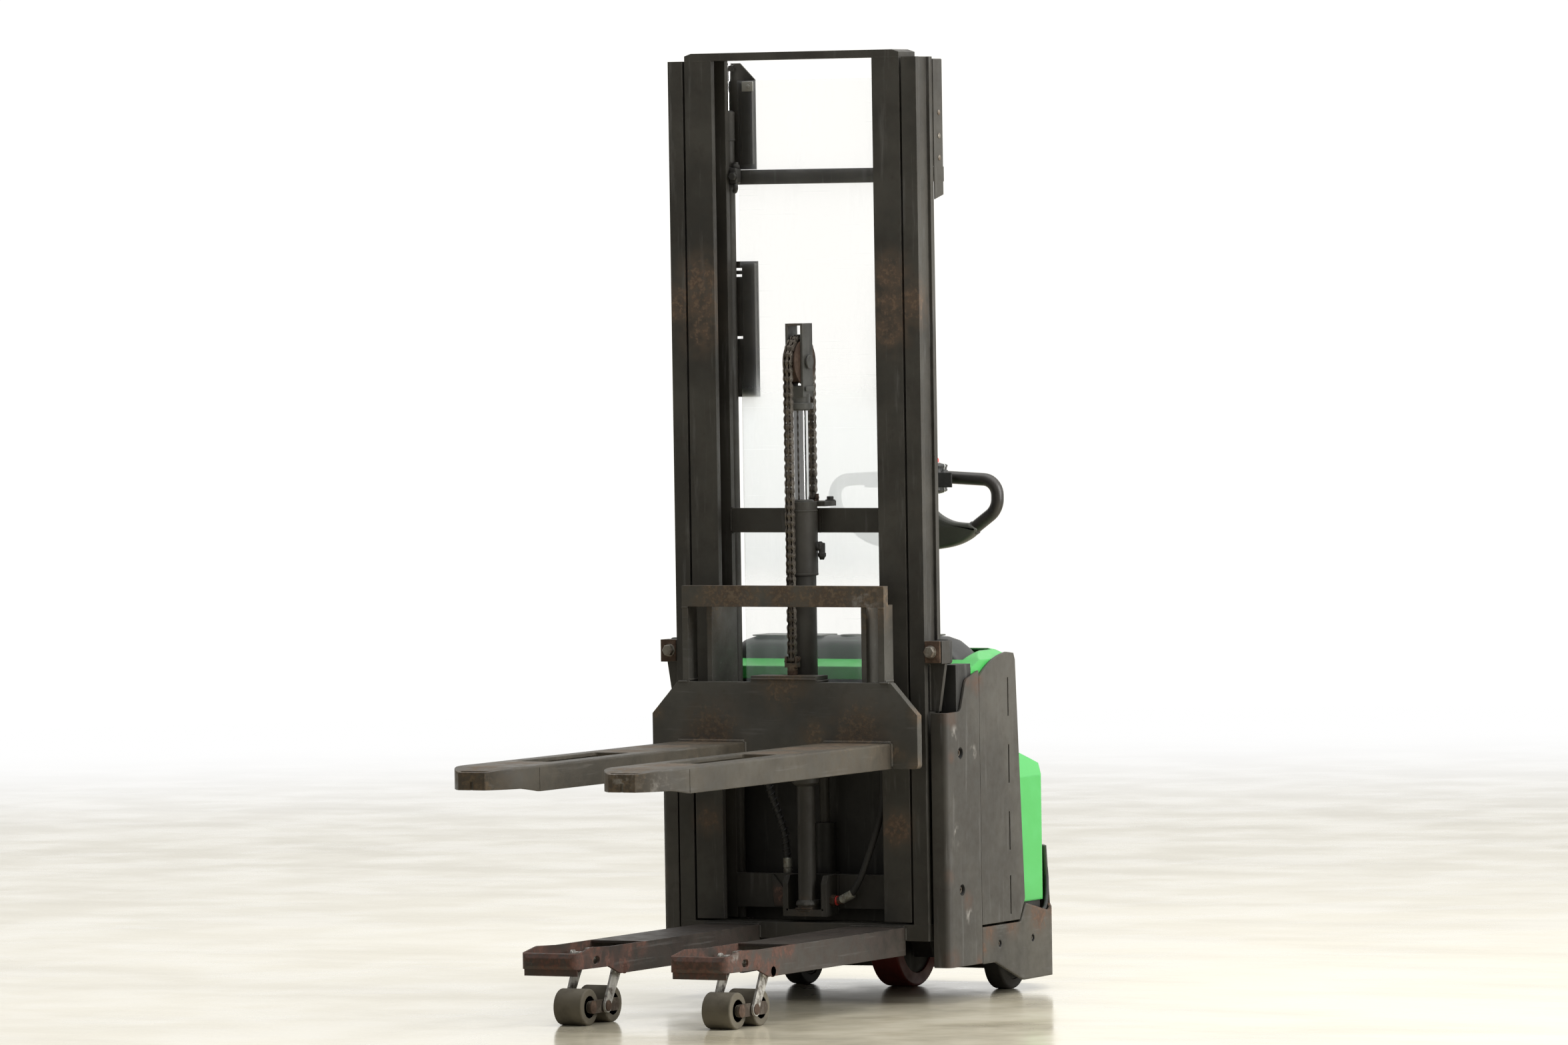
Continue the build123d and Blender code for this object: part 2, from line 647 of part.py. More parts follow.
def load_wheel(side, axle_y):
    centre = side * arm_centre
    with BuildPart() as piece:
        bar_x(axle_y, wheel_radius, wheel_radius, centre - wheel_half, centre + wheel_half)
        rims = piece.edges().filter_by(GeomType.CIRCLE)
        fillet(rims, radius=4)
        for inward in (-1, 1):
            face = centre + inward * wheel_half
            pocket = centre + inward * (wheel_half - 6)
            bar_x(axle_y, wheel_radius, 26, min(face, pocket), max(face, pocket), mode=Mode.SUBTRACT)
            bar_x(axle_y, wheel_radius, 14, min(face - inward, pocket), max(face - inward, pocket))
        bar_x(axle_y, wheel_radius, axle_radius + running, centre - wheel_half - 1,
              centre + wheel_half + 1, mode=Mode.SUBTRACT)
    return piece


for name, side in sides:
    keep(bogie(side), f"bogie_{name}")
    keep(load_wheel(side, front_axle_y), f"load_wheel_{name}_front")
    keep(load_wheel(side, rear_axle_y), f"load_wheel_{name}_rear")

slot_slack = 1.0
with BuildPart() as push_rods:
    for side in (-1, 1):
        centre = side * arm_centre
        rise = link_lever * (1 - cos(radians(lever_lean)))
        slot_low = lever_z - rod_pin_radius - slot_slack
        slot_high = lever_z + rise + rod_pin_radius + slot_slack
        eye_top = min(slot_high + 5, arm_high - 8)
        slab(centre - 12, centre + 12, lever_y - 16, lever_y + 20, slot_low - 6, eye_top)
        slab(centre - 9, centre + 9, lever_y + 18, 0, lever_z - 8, lever_z + 6)
        slab(centre - 13, centre + 13, lever_y - rod_pin_radius - slot_slack,
             lever_y + rod_pin_radius + slot_slack, slot_low, slot_high, mode=Mode.SUBTRACT)
keep(push_rods, "push_rods")


# ======== Chassis ========

with BuildPart() as front_panels:
    for side in (-1, 1):
        with BuildSketch(level(panel_low)):
            outer = sorted((side * panel_inner, side * half_width))
            rect(outer[0], outer[1], panel_front, panel_seam - gap / 2)
            inner = sorted((side * (panel_inner - 1), side * (half_width - sheet)))
            rect(inner[0], inner[1], panel_front + sheet, panel_seam + gap, mode=Mode.SUBTRACT)
        extrude(amount=panel_high - panel_low)
    bends = front_panels.edges().filter_by(Axis.Z).filter_by(
        lambda e: abs(e.center().X) > half_width - 1 and e.center().Y < heel_y + panel_front + 1)
    fillet(bends, radius=15)
    with BuildSketch(section(-half_width - 1)):
        with BuildLine():
            notch = FilletPolyline((panel_front - 5, panel_step), (165, panel_step + 1), (194, 764),
                                   (panel_seam + 5, panel_high), radius=[14, 26])
            Polyline(notch @ 1, (panel_seam + 5, panel_high + 5), (panel_front - 5, panel_high + 5),
                     notch @ 0)
        make_face()
    extrude(amount=2 * half_width + 2, mode=Mode.SUBTRACT)
    for hole_z in (592, 268):
        bar_x(160, hole_z, 12.5, -half_width - 1, half_width + 1, mode=Mode.SUBTRACT)
keep(front_panels, "front_panels")

with BuildPart() as rear_panels:
    for side in (-1, 1):
        skin = sorted((side * (half_width - sheet), side * half_width))
        with BuildSketch(section(skin[0])):
            with BuildLine():
                Polyline((460, rear_panel_low), (panel_seam + gap / 2, rear_panel_low),
                         (panel_seam + gap / 2, 767))
                ThreePointArc((panel_seam + gap / 2, 767), (330, 802), (410, rear_panel_top))
                Polyline((410, rear_panel_top), (446, 816), (454, 800), (489, 227),
                         (460, rear_panel_low))
            make_face()
        extrude(amount=sheet)
        for dash_z in (713, 553, 393, 240):
            slab(skin[0] - 1, skin[1] + 1, panel_strip - 3, panel_strip + 3, dash_z - 46, dash_z + 46,
                 mode=Mode.SUBTRACT)
keep(rear_panels, "rear_panels")


def tail_outline(front, inset):
    """Plan of the rear of the truck, with its slanted and rounded corners."""
    wide = half_width - inset
    corner = skirt_corner_x - inset * 0.6
    with BuildLine() as outline:
        Polyline((-wide, front), (-wide, skirt_corner_y), (-corner, skirt_rear_y - inset),
                 (-corner / 2, rear_reach - inset - 4), (0, rear_reach - inset),
                 (corner / 2, rear_reach - inset - 4), (corner, skirt_rear_y - inset),
                 (wide, skirt_corner_y), (wide, front), close=True)
    make_face(outline.edges())
    fillet(vertices().filter_by(lambda v: abs(v.X) > corner - 1 and v.Y > front + 1), radius=38 - inset)


with BuildPart() as skirt:
    with BuildSketch(level(30)):
        tail_outline(panel_seam + gap / 2, 0)
    extrude(amount=320)
    with BuildSketch(level(29)):
        tail_outline(panel_seam - 5, skirt_wall)
    extrude(amount=322, mode=Mode.SUBTRACT)
    side_top = [(panel_seam, 172), (467, 172), (495, 215), (613, 190), (668, 204), (715, 338),
                (800, 338)]
    with BuildSketch(section(-half_width - 1)):
        with BuildLine():
            Polyline((800, 33), (628, 33), (479, 32), (332, 85), (panel_seam, 85), *side_top,
                     close=True)
        make_face()
    extrude(amount=2 * half_width + 2, mode=Mode.INTERSECT)
    for hole_y, hole_z in ((353, 128), (528, 129)):
        bar_x(hole_y, hole_z, 8, -half_width - 1, half_width + 1, mode=Mode.SUBTRACT)
keep(skirt, "skirt")

hood_half = half_width - skirt_wall - gap - hood_tuck
frame_half = hood_half - hood_wall - gap
bay_half = half_width - sheet - gap
hood_front = 497.0
with BuildPart() as chassis_frame:
    slab(-bay_half, bay_half, bulkhead_front, bulkhead_back, floor_low, 752)
    slab(-frame_half, frame_half, bulkhead_front, 470, floor_low, floor_high)
    for side in (-1, 1):
        wing = sorted((side * 205, side * frame_half))
        slab(wing[0], wing[1], 465, 628, floor_low, floor_high)
        post = sorted((side * 336, side * bay_half))
        slab(post[0], post[1], 158, bulkhead_front + 2, 200, 752)
        slab(post[0], post[1], 158, bulkhead_front - gap, 750, 800)
        cheek = sorted((side * (frame_half - 8), side * frame_half))
        slab(cheek[0], cheek[1], 465, 628, floor_low, bridge_high)
    with BuildSketch(level(bridge_low)):
        rect(-frame_half, frame_half, 478, 628)
        with BuildLine():
            Polyline((-frame_half, 628), (-312, 676), (312, 676), (frame_half, 628), close=True)
        make_face()
    extrude(amount=bridge_high - bridge_low)
    rear_wall = [(449, 756), (457, 756), (489, bridge_high - 2), (481, bridge_high - 2)]
    side_plate(rear_wall, -bay_half, bay_half)
    bar_z(0, steer_y, column_radius + 22, bridge_low - 1, bridge_high + 1, mode=Mode.SUBTRACT)
    for side in (-1, 1):
        bar_z(side * caster_x, caster_y, caster_stem + running, floor_low - 1, floor_high + 1,
              mode=Mode.SUBTRACT)
keep(chassis_frame, "chassis_frame")

with BuildPart() as slew_bearing:
    bar_z(0, steer_y, column_radius + 22 - running, bridge_low, bridge_high + 4)
    bar_z(0, steer_y, column_radius + running, bridge_low - 1, bridge_high + 5, mode=Mode.SUBTRACT)
keep(slew_bearing, "slew_bearing")

with BuildPart() as battery:
    slab(-355, 355, bulkhead_back + gap, 447, floor_high, battery_high)
    top_edges = battery.faces().sort_by(Axis.Z)[-1].edges()
    chamfer(top_edges, length=6)
    for cell in range(12):
        bar_z(-319 + cell * 58, 345, 14, battery_high - 1, battery_high + 8)
keep(battery, "battery")


def hood_form(inset):
    """Crowned battery hood: side profile crossed with a shouldered front profile."""
    wide = half_width - sheet - gap - inset
    front, back = bulkhead_front + inset, 452 - inset
    low = hood_low - (1 if inset else 0)
    with BuildPart() as form:
        with BuildSketch(section(-wide)):
            with BuildLine():
                Polyline((back, low), (front, low), (front, 790 - inset))
                ThreePointArc((front, 790 - inset), (330, 818 - inset), (430, 828 - inset))
                Polyline((430, 828 - inset), (back, 824 - inset), (back, low))
            make_face()
        extrude(amount=2 * wide)
        shoulder = [(-wide, low), (wide, low), (wide, 806 - inset), (wide - 58, 830), (-wide + 58, 830),
                    (-wide, 806 - inset)]
        front_plate(shoulder, front, back, mode=Mode.INTERSECT)
    return form.part


hood_outside, hood_inside = hood_form(0), hood_form(hood_wall)
with BuildPart() as top_hood:
    add(hood_outside)
    add(hood_inside, mode=Mode.SUBTRACT)
    slab(-console_half - 1, console_half + 1, console_front - 1, console_back + 1, 770, 840,
         mode=Mode.SUBTRACT)
keep(top_hood, "top_hood")

with BuildPart() as console:
    outline = [(-console_half, 775), (console_half, 775), (console_half, 800),
               (console_half - 70, console_top), (-console_half + 70, console_top),
               (-console_half, 800)]
    front_plate(outline, console_front, console_back)
    crown = console.edges().filter_by(Axis.X).group_by(Axis.Z)[-1]
    fillet(crown, radius=16)
    bar_z(180, 360, 14 + slip, console_top - 14, console_top + 1, mode=Mode.SUBTRACT)
    bar_z(110, 370, 8 + slip, console_top - 20, console_top + 1, mode=Mode.SUBTRACT)
keep(console, "console")

with BuildPart() as emergency_stop:
    bar_z(180, 360, 14, console_top - 4, console_top + 8)
    bar_z(180, 360, 20, console_top + 8, console_top + 20)
    cap = emergency_stop.edges().group_by(Axis.Z)[-1]
    fillet(cap, radius=5)
keep(emergency_stop, "emergency_stop")

with BuildPart() as key_switch:
    bar_z(110, 370, 8, console_top - 18, console_top + 4)
    slab(108, 112, 360, 380, console_top + 3, console_top + 28)
keep(key_switch, "key_switch")


def motor_hood_form(inset):
    """Rear hood: plan of the tail crossed with its sloping side profile."""
    with BuildPart() as form:
        with BuildSketch(level(196)):
            tail_outline(hood_front + inset, skirt_wall + gap + hood_tuck + inset)
        extrude(amount=420)
        low = 195 if inset else 215
        wide = half_width - inset
        shape = [(hood_front + inset, low), (hood_front + inset, hood_crown - inset),
                 (600, hood_crown - 20 - inset), (690, 528 - inset), (748 - inset, 486 - inset),
                 (772 - inset, 452 - inset), (800, 440 - inset), (800, low)]
        side_plate(shape, -wide, wide, mode=Mode.INTERSECT)
        shoulder = [(-wide, low), (wide, low), (wide, hood_side_top - inset),
                    (wide - 60, hood_side_top + 64 - inset), (wide - 110, hood_crown + 1),
                    (-wide + 110, hood_crown + 1), (-wide + 60, hood_side_top + 64 - inset),
                    (-wide, hood_side_top - inset)]
        front_plate(shoulder, hood_front, rear_reach, mode=Mode.INTERSECT)
    return form.part


motor_outside, motor_inside = motor_hood_form(0), motor_hood_form(hood_wall)
with BuildPart() as motor_hood:
    add(motor_outside)
    add(motor_inside, mode=Mode.SUBTRACT)
    slab(-frame_half - 1, frame_half + 1, hood_front - 5, hood_front + hood_wall + 2, 190,
         bridge_high + 6, mode=Mode.SUBTRACT)
    bar_z(0, steer_y, 44, 500, 640, mode=Mode.SUBTRACT)
keep(motor_hood, "motor_hood")

with BuildPart() as power_unit:
    slab(170, 335, 512, 600, bridge_high, 385)
    bar_z(252, 556, 44, 380, 500)
    bar_z(200, 556, 8, 380, 420)
keep(power_unit, "power_unit")

with BuildPart() as controller:
    slab(-335, -165, 512, 610, bridge_high, 360)
    for fin in range(8):
        slab(-330 + fin * 21, -325 + fin * 21, 515, 607, 359, 385)
keep(controller, "controller")

with BuildPart() as initial_lift_cylinder:
    bar_z(0, 200, 24, 236, 420)
    slab(-20, 20, 214, bulkhead_front, 240, 300)
    bar_z(0, 200, 12 + slip, 244, 421, mode=Mode.SUBTRACT)
keep(initial_lift_cylinder, "initial_lift_cylinder")


# ======== Steered drive unit and casters ========

with BuildPart() as drive_unit:
    bar_z(0, steer_y, 104, 242, 272)
    bar_z(0, steer_y, column_radius, 270, 312)
    bar_z(0, steer_y, 76, 306, 480)
    bar_z(0, steer_y, 34, 478, 604)
    leg = [(steer_y - 48, 244), (steer_y + 48, 244), (steer_y + 56, 120), (steer_y + 36, 74),
           (steer_y - 36, 74), (steer_y - 56, 120)]
    side_plate(leg, 46, 98)
    bar_x(steer_y, drive_radius, drive_axle, -30, 50)
    slab(-30, 30, steer_y - 4, tiller_y + 26, 604, 626)
    for side in (-1, 1):
        lug = sorted((side * 24, side * 34))
        side_plate([(tiller_y - 26, 606), (tiller_y + 26, 606), (tiller_y + 18, tiller_z + 20),
                    (tiller_y - 18, tiller_z + 20)], lug[0], lug[1])
    bar_x(tiller_y, tiller_z, tiller_pin, -38, 38)
keep(drive_unit, "drive_unit")

with BuildPart() as drive_hub:
    bar_x(steer_y, drive_radius, 82, -drive_half + 5, drive_half - 5)
    bar_x(steer_y, drive_radius, drive_axle + running, -drive_half, drive_half, mode=Mode.SUBTRACT)
    with BuildSketch(section(-drive_half)):
        with Locations((steer_y, drive_radius)):
            with PolarLocations(54, 6):
                Circle(10)
    extrude(amount=20, mode=Mode.SUBTRACT)
keep(drive_hub, "drive_hub")

with BuildPart() as drive_tyre:
    bar_x(steer_y, drive_radius, drive_radius, -drive_half, drive_half)
    fillet(drive_tyre.edges().filter_by(GeomType.CIRCLE), radius=6)
    bar_x(steer_y, drive_radius, 82, -drive_half - 1, drive_half + 1, mode=Mode.SUBTRACT)
keep(drive_tyre, "drive_tyre")

for name, side in sides:
    x = side * caster_x
    with BuildPart() as caster_fork:
        bar_z(x, caster_y, caster_stem, 164, floor_high + 8)
        bar_z(x, caster_y, 36, 158, 170)
        for inward in (-1, 1):
            leg = sorted((x + inward * (caster_half + 3), x + inward * (caster_half + 9)))
            side_plate([(caster_y - 26, 160), (caster_y + 26, 160),
                        (caster_y + caster_trail + 16, caster_radius - 8),
                        (caster_y + caster_trail, caster_radius - 18),
                        (caster_y + caster_trail - 16, caster_radius - 8)], leg[0], leg[1])
        bar_x(caster_y + caster_trail, caster_radius, caster_axle, x - caster_half - 8,
              x + caster_half + 8)
    keep(caster_fork, f"caster_fork_{name}")

    with BuildPart() as caster_wheel:
        bar_x(caster_y + caster_trail, caster_radius, caster_radius, x - caster_half, x + caster_half)
        fillet(caster_wheel.edges().filter_by(GeomType.CIRCLE), radius=6)
        for inward in (-1, 1):
            recess = sorted((x + inward * caster_half, x + inward * (caster_half - 5)))
            bar_x(caster_y + caster_trail, caster_radius, 52, recess[0], recess[1], mode=Mode.SUBTRACT)
        bar_x(caster_y + caster_trail, caster_radius, caster_axle + running, x - caster_half - 1,
              x + caster_half + 1, mode=Mode.SUBTRACT)
    keep(caster_wheel, f"caster_wheel_{name}")


# ======== Tiller ========

with BuildPart() as tiller_arm:
    bar_x(tiller_y, tiller_z, 22, -23, 23)
    with BuildSketch(level(tiller_z)):
        with Locations((0, tiller_y)):
            RectangleRounded(44, 34, 8)
    extrude(amount=wing_low - tiller_z)
    bar_x(tiller_y, tiller_z, tiller_pin + running, -24, 24, mode=Mode.SUBTRACT)
keep(tiller_arm, "tiller_arm")

loop_corners = ((pod_half - 20, grip_z), (grip_half, grip_z - 9), (grip_half, 1150), (150, 1099))
wing_edge = ((160, 1086), (150, 1116), (100, 1123), (64, 1142), (40, 1168), (36, pod_low + 4))
with BuildPart() as tiller_head:
    for side in (-1, 1):
        with BuildLine() as loop:
            corners = [(side * x, heel_y + tiller_y, z) for x, z in loop_corners]
            FilletPolyline(*corners, radius=[38, 50])
        with BuildSketch(Plane(origin=loop.line @ 0, z_dir=loop.line % 0)) as tube:
            Circle(grip_radius)
        sweep(tube.sketch, path=loop.line)
    wing_right = [(94, 1066), *wing_edge]
    wing_left = [(-x, z) for x, z in reversed(wing_right)]
    front_plate([(0, wing_low), *wing_right, *wing_left], tiller_y - 19, tiller_y + 19)
    front_plate([(-pod_half + 14, pod_low), (pod_half - 14, pod_low), (pod_half, pod_low + 18),
                 (pod_half, pod_high - 14), (pod_half - 12, pod_high), (-pod_half + 12, pod_high),
                 (-pod_half, pod_high - 14), (-pod_half, pod_low + 18)], tiller_y - 27, tiller_y + 27)
    slab(-button_half - slip, button_half + slip, tiller_y - 16, tiller_y + 16, pod_high - 14,
         pod_high + 1, mode=Mode.SUBTRACT)
    slab(-20 - slip, 20 + slip, tiller_y + 14, tiller_y + 28, 1202, 1242, mode=Mode.SUBTRACT)
keep(tiller_head, "tiller_head")

with BuildPart() as belly_button:
    slab(-button_half, button_half, tiller_y - 15.5, tiller_y + 15.5, pod_high - 4, pod_high + 16)
    crown = belly_button.faces().sort_by(Axis.Z)[-1].edges()
    fillet(crown, radius=9)
keep(belly_button, "belly_button")

with BuildPart() as speed_paddles:
    for side in (-1, 1):
        wing = sorted((side * 82, side * 118))
        slab(wing[0], wing[1], tiller_y - 42, tiller_y - 37, 1204, 1240)
        bar_x(tiller_y - 36, 1222, 6, min(side * 40, side * 100), max(side * 40, side * 100))
    bar_x(tiller_y - 36, 1222, 5, -45, 45)
keep(speed_paddles, "speed_paddles")

with BuildPart() as lift_rocker:
    slab(-20, 20, tiller_y + 18, tiller_y + 30, 1203, 1241)
    bar_x(tiller_y + 24, 1222, 3, -20, 20, mode=Mode.SUBTRACT)
    bar_x(tiller_y + 24, 1222, 3, -20.3, 20.3)
keep(lift_rocker, "lift_rocker")
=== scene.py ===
import random
from math import cos, pi, radians, sin, tan

import bmesh
import bpy
from mathutils import Matrix, Vector


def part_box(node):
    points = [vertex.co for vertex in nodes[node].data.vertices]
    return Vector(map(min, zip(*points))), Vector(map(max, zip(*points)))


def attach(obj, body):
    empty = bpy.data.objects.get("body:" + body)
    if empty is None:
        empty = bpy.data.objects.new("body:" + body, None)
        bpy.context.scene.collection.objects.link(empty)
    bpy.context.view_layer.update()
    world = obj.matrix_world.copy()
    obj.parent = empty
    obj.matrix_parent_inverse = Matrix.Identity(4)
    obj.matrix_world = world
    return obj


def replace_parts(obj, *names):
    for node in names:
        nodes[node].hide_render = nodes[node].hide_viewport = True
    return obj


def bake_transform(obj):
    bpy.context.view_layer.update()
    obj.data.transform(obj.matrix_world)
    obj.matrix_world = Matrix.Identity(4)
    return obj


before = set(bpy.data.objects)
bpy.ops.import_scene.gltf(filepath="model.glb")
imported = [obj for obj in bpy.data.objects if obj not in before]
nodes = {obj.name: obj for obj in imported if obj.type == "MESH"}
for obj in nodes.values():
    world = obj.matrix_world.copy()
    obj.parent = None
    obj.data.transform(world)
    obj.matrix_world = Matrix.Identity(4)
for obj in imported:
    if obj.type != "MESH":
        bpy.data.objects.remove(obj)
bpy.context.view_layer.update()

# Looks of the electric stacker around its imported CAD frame. Shapes below are given in
# millimetres with Y measured from the carriage face (the heel of the forks), as the CAD
# part is drawn, and are turned into metres in the row frame when a piece is made.

MM = 0.001
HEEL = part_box("carriage_frame")[0].y / MM
random.seed(11)


def low(node):
    """Lowest corner of a CAD node, in millimetres from the heel."""
    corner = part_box(node)[0] / MM
    return Vector((corner.x, corner.y - HEEL, corner.z))


def high(node):
    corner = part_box(node)[1] / MM
    return Vector((corner.x, corner.y - HEEL, corner.z))


def middle(node):
    return (low(node) + high(node)) / 2


# ======== Materials ========

class Graph:
    """Adds and links the shader nodes of one material."""

    def __init__(self, name):
        self.material = bpy.data.materials.new(name)
        self.material.use_nodes = True
        self.tree = self.material.node_tree
        self.tree.nodes.clear()
        self.place = self.add("TexCoord").outputs["Object"]

    def add(self, kind, **settings):
        node = self.tree.nodes.new("ShaderNode" + kind)
        for key, value in settings.items():
            setattr(node, key, value)
        return node

    def put(self, socket, value):
        if isinstance(value, bpy.types.NodeSocket):
            self.tree.links.new(value, socket)
        else:
            socket.default_value = value

    def math(self, operation, first, second=0.0):
        node = self.add("Math", operation=operation, use_clamp=True)
        self.put(node.inputs[0], first)
        self.put(node.inputs[1], second)
        return node.outputs[0]

    def times(self, first, second):
        return self.math("MULTIPLY", first, second)

    def plus(self, first, second):
        return self.math("ADD", first, second)

    def noise(self, scale, detail=4.0, rough=0.55, stretch=None):
        node = self.add("TexNoise")
        place = self.place
        if stretch:
            mapping = self.add("Mapping")
            self.put(mapping.inputs["Vector"], place)
            mapping.inputs["Scale"].default_value = stretch
            place = mapping.outputs[0]
        self.put(node.inputs["Vector"], place)
        node.inputs["Scale"].default_value = scale
        node.inputs["Detail"].default_value = detail
        node.inputs["Roughness"].default_value = rough
        return node.outputs[0]

    def band(self, value, start, end, least=0.0, most=1.0):
        node = self.add("MapRange", interpolation_type="SMOOTHSTEP")
        for socket, number in zip(node.inputs[:5], (value, start, end, least, most)):
            self.put(socket, number)
        return node.outputs[0]

    def mix(self, factor, first, second):
        node = self.add("Mix", data_type="RGBA")
        self.put(node.inputs[0], factor)
        for socket, colour in ((node.inputs[6], first), (node.inputs[7], second)):
            self.put(socket, colour if isinstance(colour, bpy.types.NodeSocket) else (*colour, 1.0))
        return node.outputs[2]

    def near(self, spots):
        """1 at each spot (x, y, z, reach in mm from the heel), falling to 0 at its reach."""
        total = 0.0
        for x, y, z, reach in spots:
            node = self.add("VectorMath", operation="DISTANCE")
            self.put(node.inputs[0], self.place)
            node.inputs[1].default_value = (x * MM, (y + HEEL) * MM, z * MM)
            fall = self.band(node.outputs["Value"], reach * MM, 0.15 * reach * MM)
            total = self.math("MAXIMUM", fall, total)
        return total

    def edges(self, radius):
        """1 on convex and concave edges, by comparing the rounded normal with the face's own."""
        bevel = self.add("Bevel", samples=4)
        bevel.inputs["Radius"].default_value = radius * MM
        self.rounded = bevel.outputs[0]
        dot = self.add("VectorMath", operation="DOT_PRODUCT")
        self.put(dot.inputs[0], self.rounded)
        self.put(dot.inputs[1], self.add("NewGeometry").outputs["True Normal"])
        return self.band(dot.outputs["Value"], 0.985, 0.8)

    def bump(self, height, depth, normal=None):
        node = self.add("Bump")
        node.inputs["Strength"].default_value = 1.0
        node.inputs["Distance"].default_value = depth * MM
        self.put(node.inputs["Height"], height)
        if normal is not None:
            self.put(node.inputs["Normal"], normal)
        return node.outputs[0]

    def surface(self, **sockets):
        shader = self.add("BsdfPrincipled")
        for name, value in sockets.items():
            self.put(shader.inputs[name.replace("_", " ")], value)
        return self.output(shader)

    def layers(self, factor, first, second):
        """Mixes two shaders: the first where the factor is 0, the second where it is 1."""
        node = self.add("MixShader")
        for socket, value in zip(node.inputs, (factor, first.outputs[0], second.outputs[0])):
            self.put(socket, value)
        return node

    def output(self, shader):
        self.put(self.add("OutputMaterial").inputs["Surface"], shader.outputs[0])
        return self.material


RUST_DARK = (0.05, 0.026, 0.016)
RUST_LIGHT = (0.105, 0.06, 0.037)
PRIMER = (0.115, 0.05, 0.035)
BARE = (0.2, 0.19, 0.175)


def painted(name, paint, chalk, rust=0.0, edge=2.5, grain=(60, 60, 5), spots=(), bare=(),
            under=RUST_LIGHT, rough=0.56, film=0.0):
    """Worn enamel on steel: faded paint, rub marks along grain, rust at edges and spots."""
    g = Graph(name)
    edges = g.edges(edge)
    fade = g.noise(4.0, detail=6, rough=0.6)
    mottle = g.noise(34.0, detail=5, rough=0.6)
    rub = g.noise(1.0, detail=4, rough=0.62, stretch=grain)
    pits = g.noise(70.0, detail=6, rough=0.68)
    colour = g.mix(g.band(fade, 0.36, 0.66), paint, chalk)
    lighter = tuple(0.5 * a + 0.09 for a in chalk)
    colour = g.mix(g.times(g.band(rub, 0.56, 0.74), 0.42), colour, lighter)
    colour = g.mix(g.times(g.band(mottle, 0.55, 0.78), 0.3), colour,
                   tuple(0.45 * a for a in paint))
    worn = g.times(edges, g.band(mottle, 0.4, 0.62))
    colour = g.mix(g.times(worn, 0.75), colour, tuple(1.9 * a + 0.02 for a in chalk))
    place = g.near(spots) if spots else 0.0
    if film or spots:
        stain = g.plus(g.times(place, 0.55), film)
        stain = g.times(stain, g.band(mottle, 0.3, 0.66, 0.25, 1.0))
        colour = g.mix(stain, colour, tuple(0.72 * a for a in under))
    eaten = g.plus(g.times(pits, 0.42), g.times(fade, 0.3))
    eaten = g.plus(eaten, g.times(place, 0.2))
    eaten = g.plus(eaten, g.times(edges, 0.1))
    eaten = g.band(g.plus(eaten, rust), 0.5, 0.6)
    scale = g.mix(g.band(pits, 0.4, 0.62), RUST_DARK, under)
    colour = g.mix(g.times(eaten, 0.66), colour, scale)
    if bare:
        shine = g.times(g.near(bare), g.band(mottle, 0.46, 0.66))
        colour = g.mix(shine, colour, BARE)
    roughness = g.band(mottle, 0.25, 0.75, rough - 0.09, rough + 0.11)
    roughness = g.plus(roughness, g.times(eaten, 0.22))
    height = g.plus(g.times(mottle, 0.35), g.times(rub, 0.25))
    height = g.plus(height, g.times(eaten, 0.35))
    normal = g.bump(height, 0.55, g.rounded)
    return g.surface(Base_Color=colour, Roughness=roughness, Normal=normal, Specular_IOR_Level=0.42)


def metal(name, light, dark, rough, rub=(400, 400, 6), dirt=0.3, shine=1.0, spots=(), depth=0.06):
    """Bare or plated metal with fine rub lines and patches of dirt."""
    g = Graph(name)
    edges = g.edges(1.2)
    lines = g.noise(1.0, detail=3, rough=0.5, stretch=rub)
    cloud = g.noise(45.0, detail=6, rough=0.65)
    stain = g.band(g.plus(cloud, dirt - 0.5), 0.42, 0.66)
    if spots:
        stain = g.math("MAXIMUM", stain, g.times(g.near(spots), g.band(cloud, 0.3, 0.6)))
    colour = g.mix(g.band(lines, 0.3, 0.7), light, tuple(0.8 * a for a in light))
    colour = g.mix(stain, colour, dark)
    colour = g.mix(g.times(edges, 0.35), colour, light)
    height = g.plus(g.times(lines, 0.5), g.times(cloud, 0.5))
    roughness = g.plus(g.band(lines, 0.2, 0.8, rough - 0.04, rough + 0.08),
                       g.times(stain, 0.25))
    metallic = g.band(stain, 0.0, 1.0, shine, 0.35 * shine)
    return g.surface(Base_Color=colour, Metallic=metallic, Roughness=roughness,
                     Normal=g.bump(height, depth, g.rounded))


def moulded(name, colour, worn, rough=0.45, grain=900.0, depth=0.05, edge=3.0, dirt=0.25, spots=()):
    """Moulded plastic or rubber: fine grain, scuffs on the edges and a film of dust."""
    g = Graph(name)
    edges = g.edges(edge)
    fine = g.noise(grain, detail=2)
    cloud = g.noise(14.0, detail=6, rough=0.6)
    scuff = g.noise(1.0, detail=5, rough=0.6, stretch=(22, 90, 260))
    tone = g.mix(g.times(g.band(cloud, 0.4, 0.72), dirt), colour, worn)
    tone = g.mix(g.times(g.band(scuff, 0.62, 0.74), 0.35), tone, worn)
    tone = g.mix(g.times(edges, 0.3), tone, worn)
    if spots:
        tone = g.mix(g.times(g.near(spots), 0.6), tone, worn)
    roughness = g.band(cloud, 0.25, 0.75, rough - 0.06, rough + 0.12)
    height = g.plus(g.times(fine, 0.7), g.times(scuff, 0.3))
    return g.surface(Base_Color=tone, Roughness=roughness, Normal=g.bump(height, depth, g.rounded))


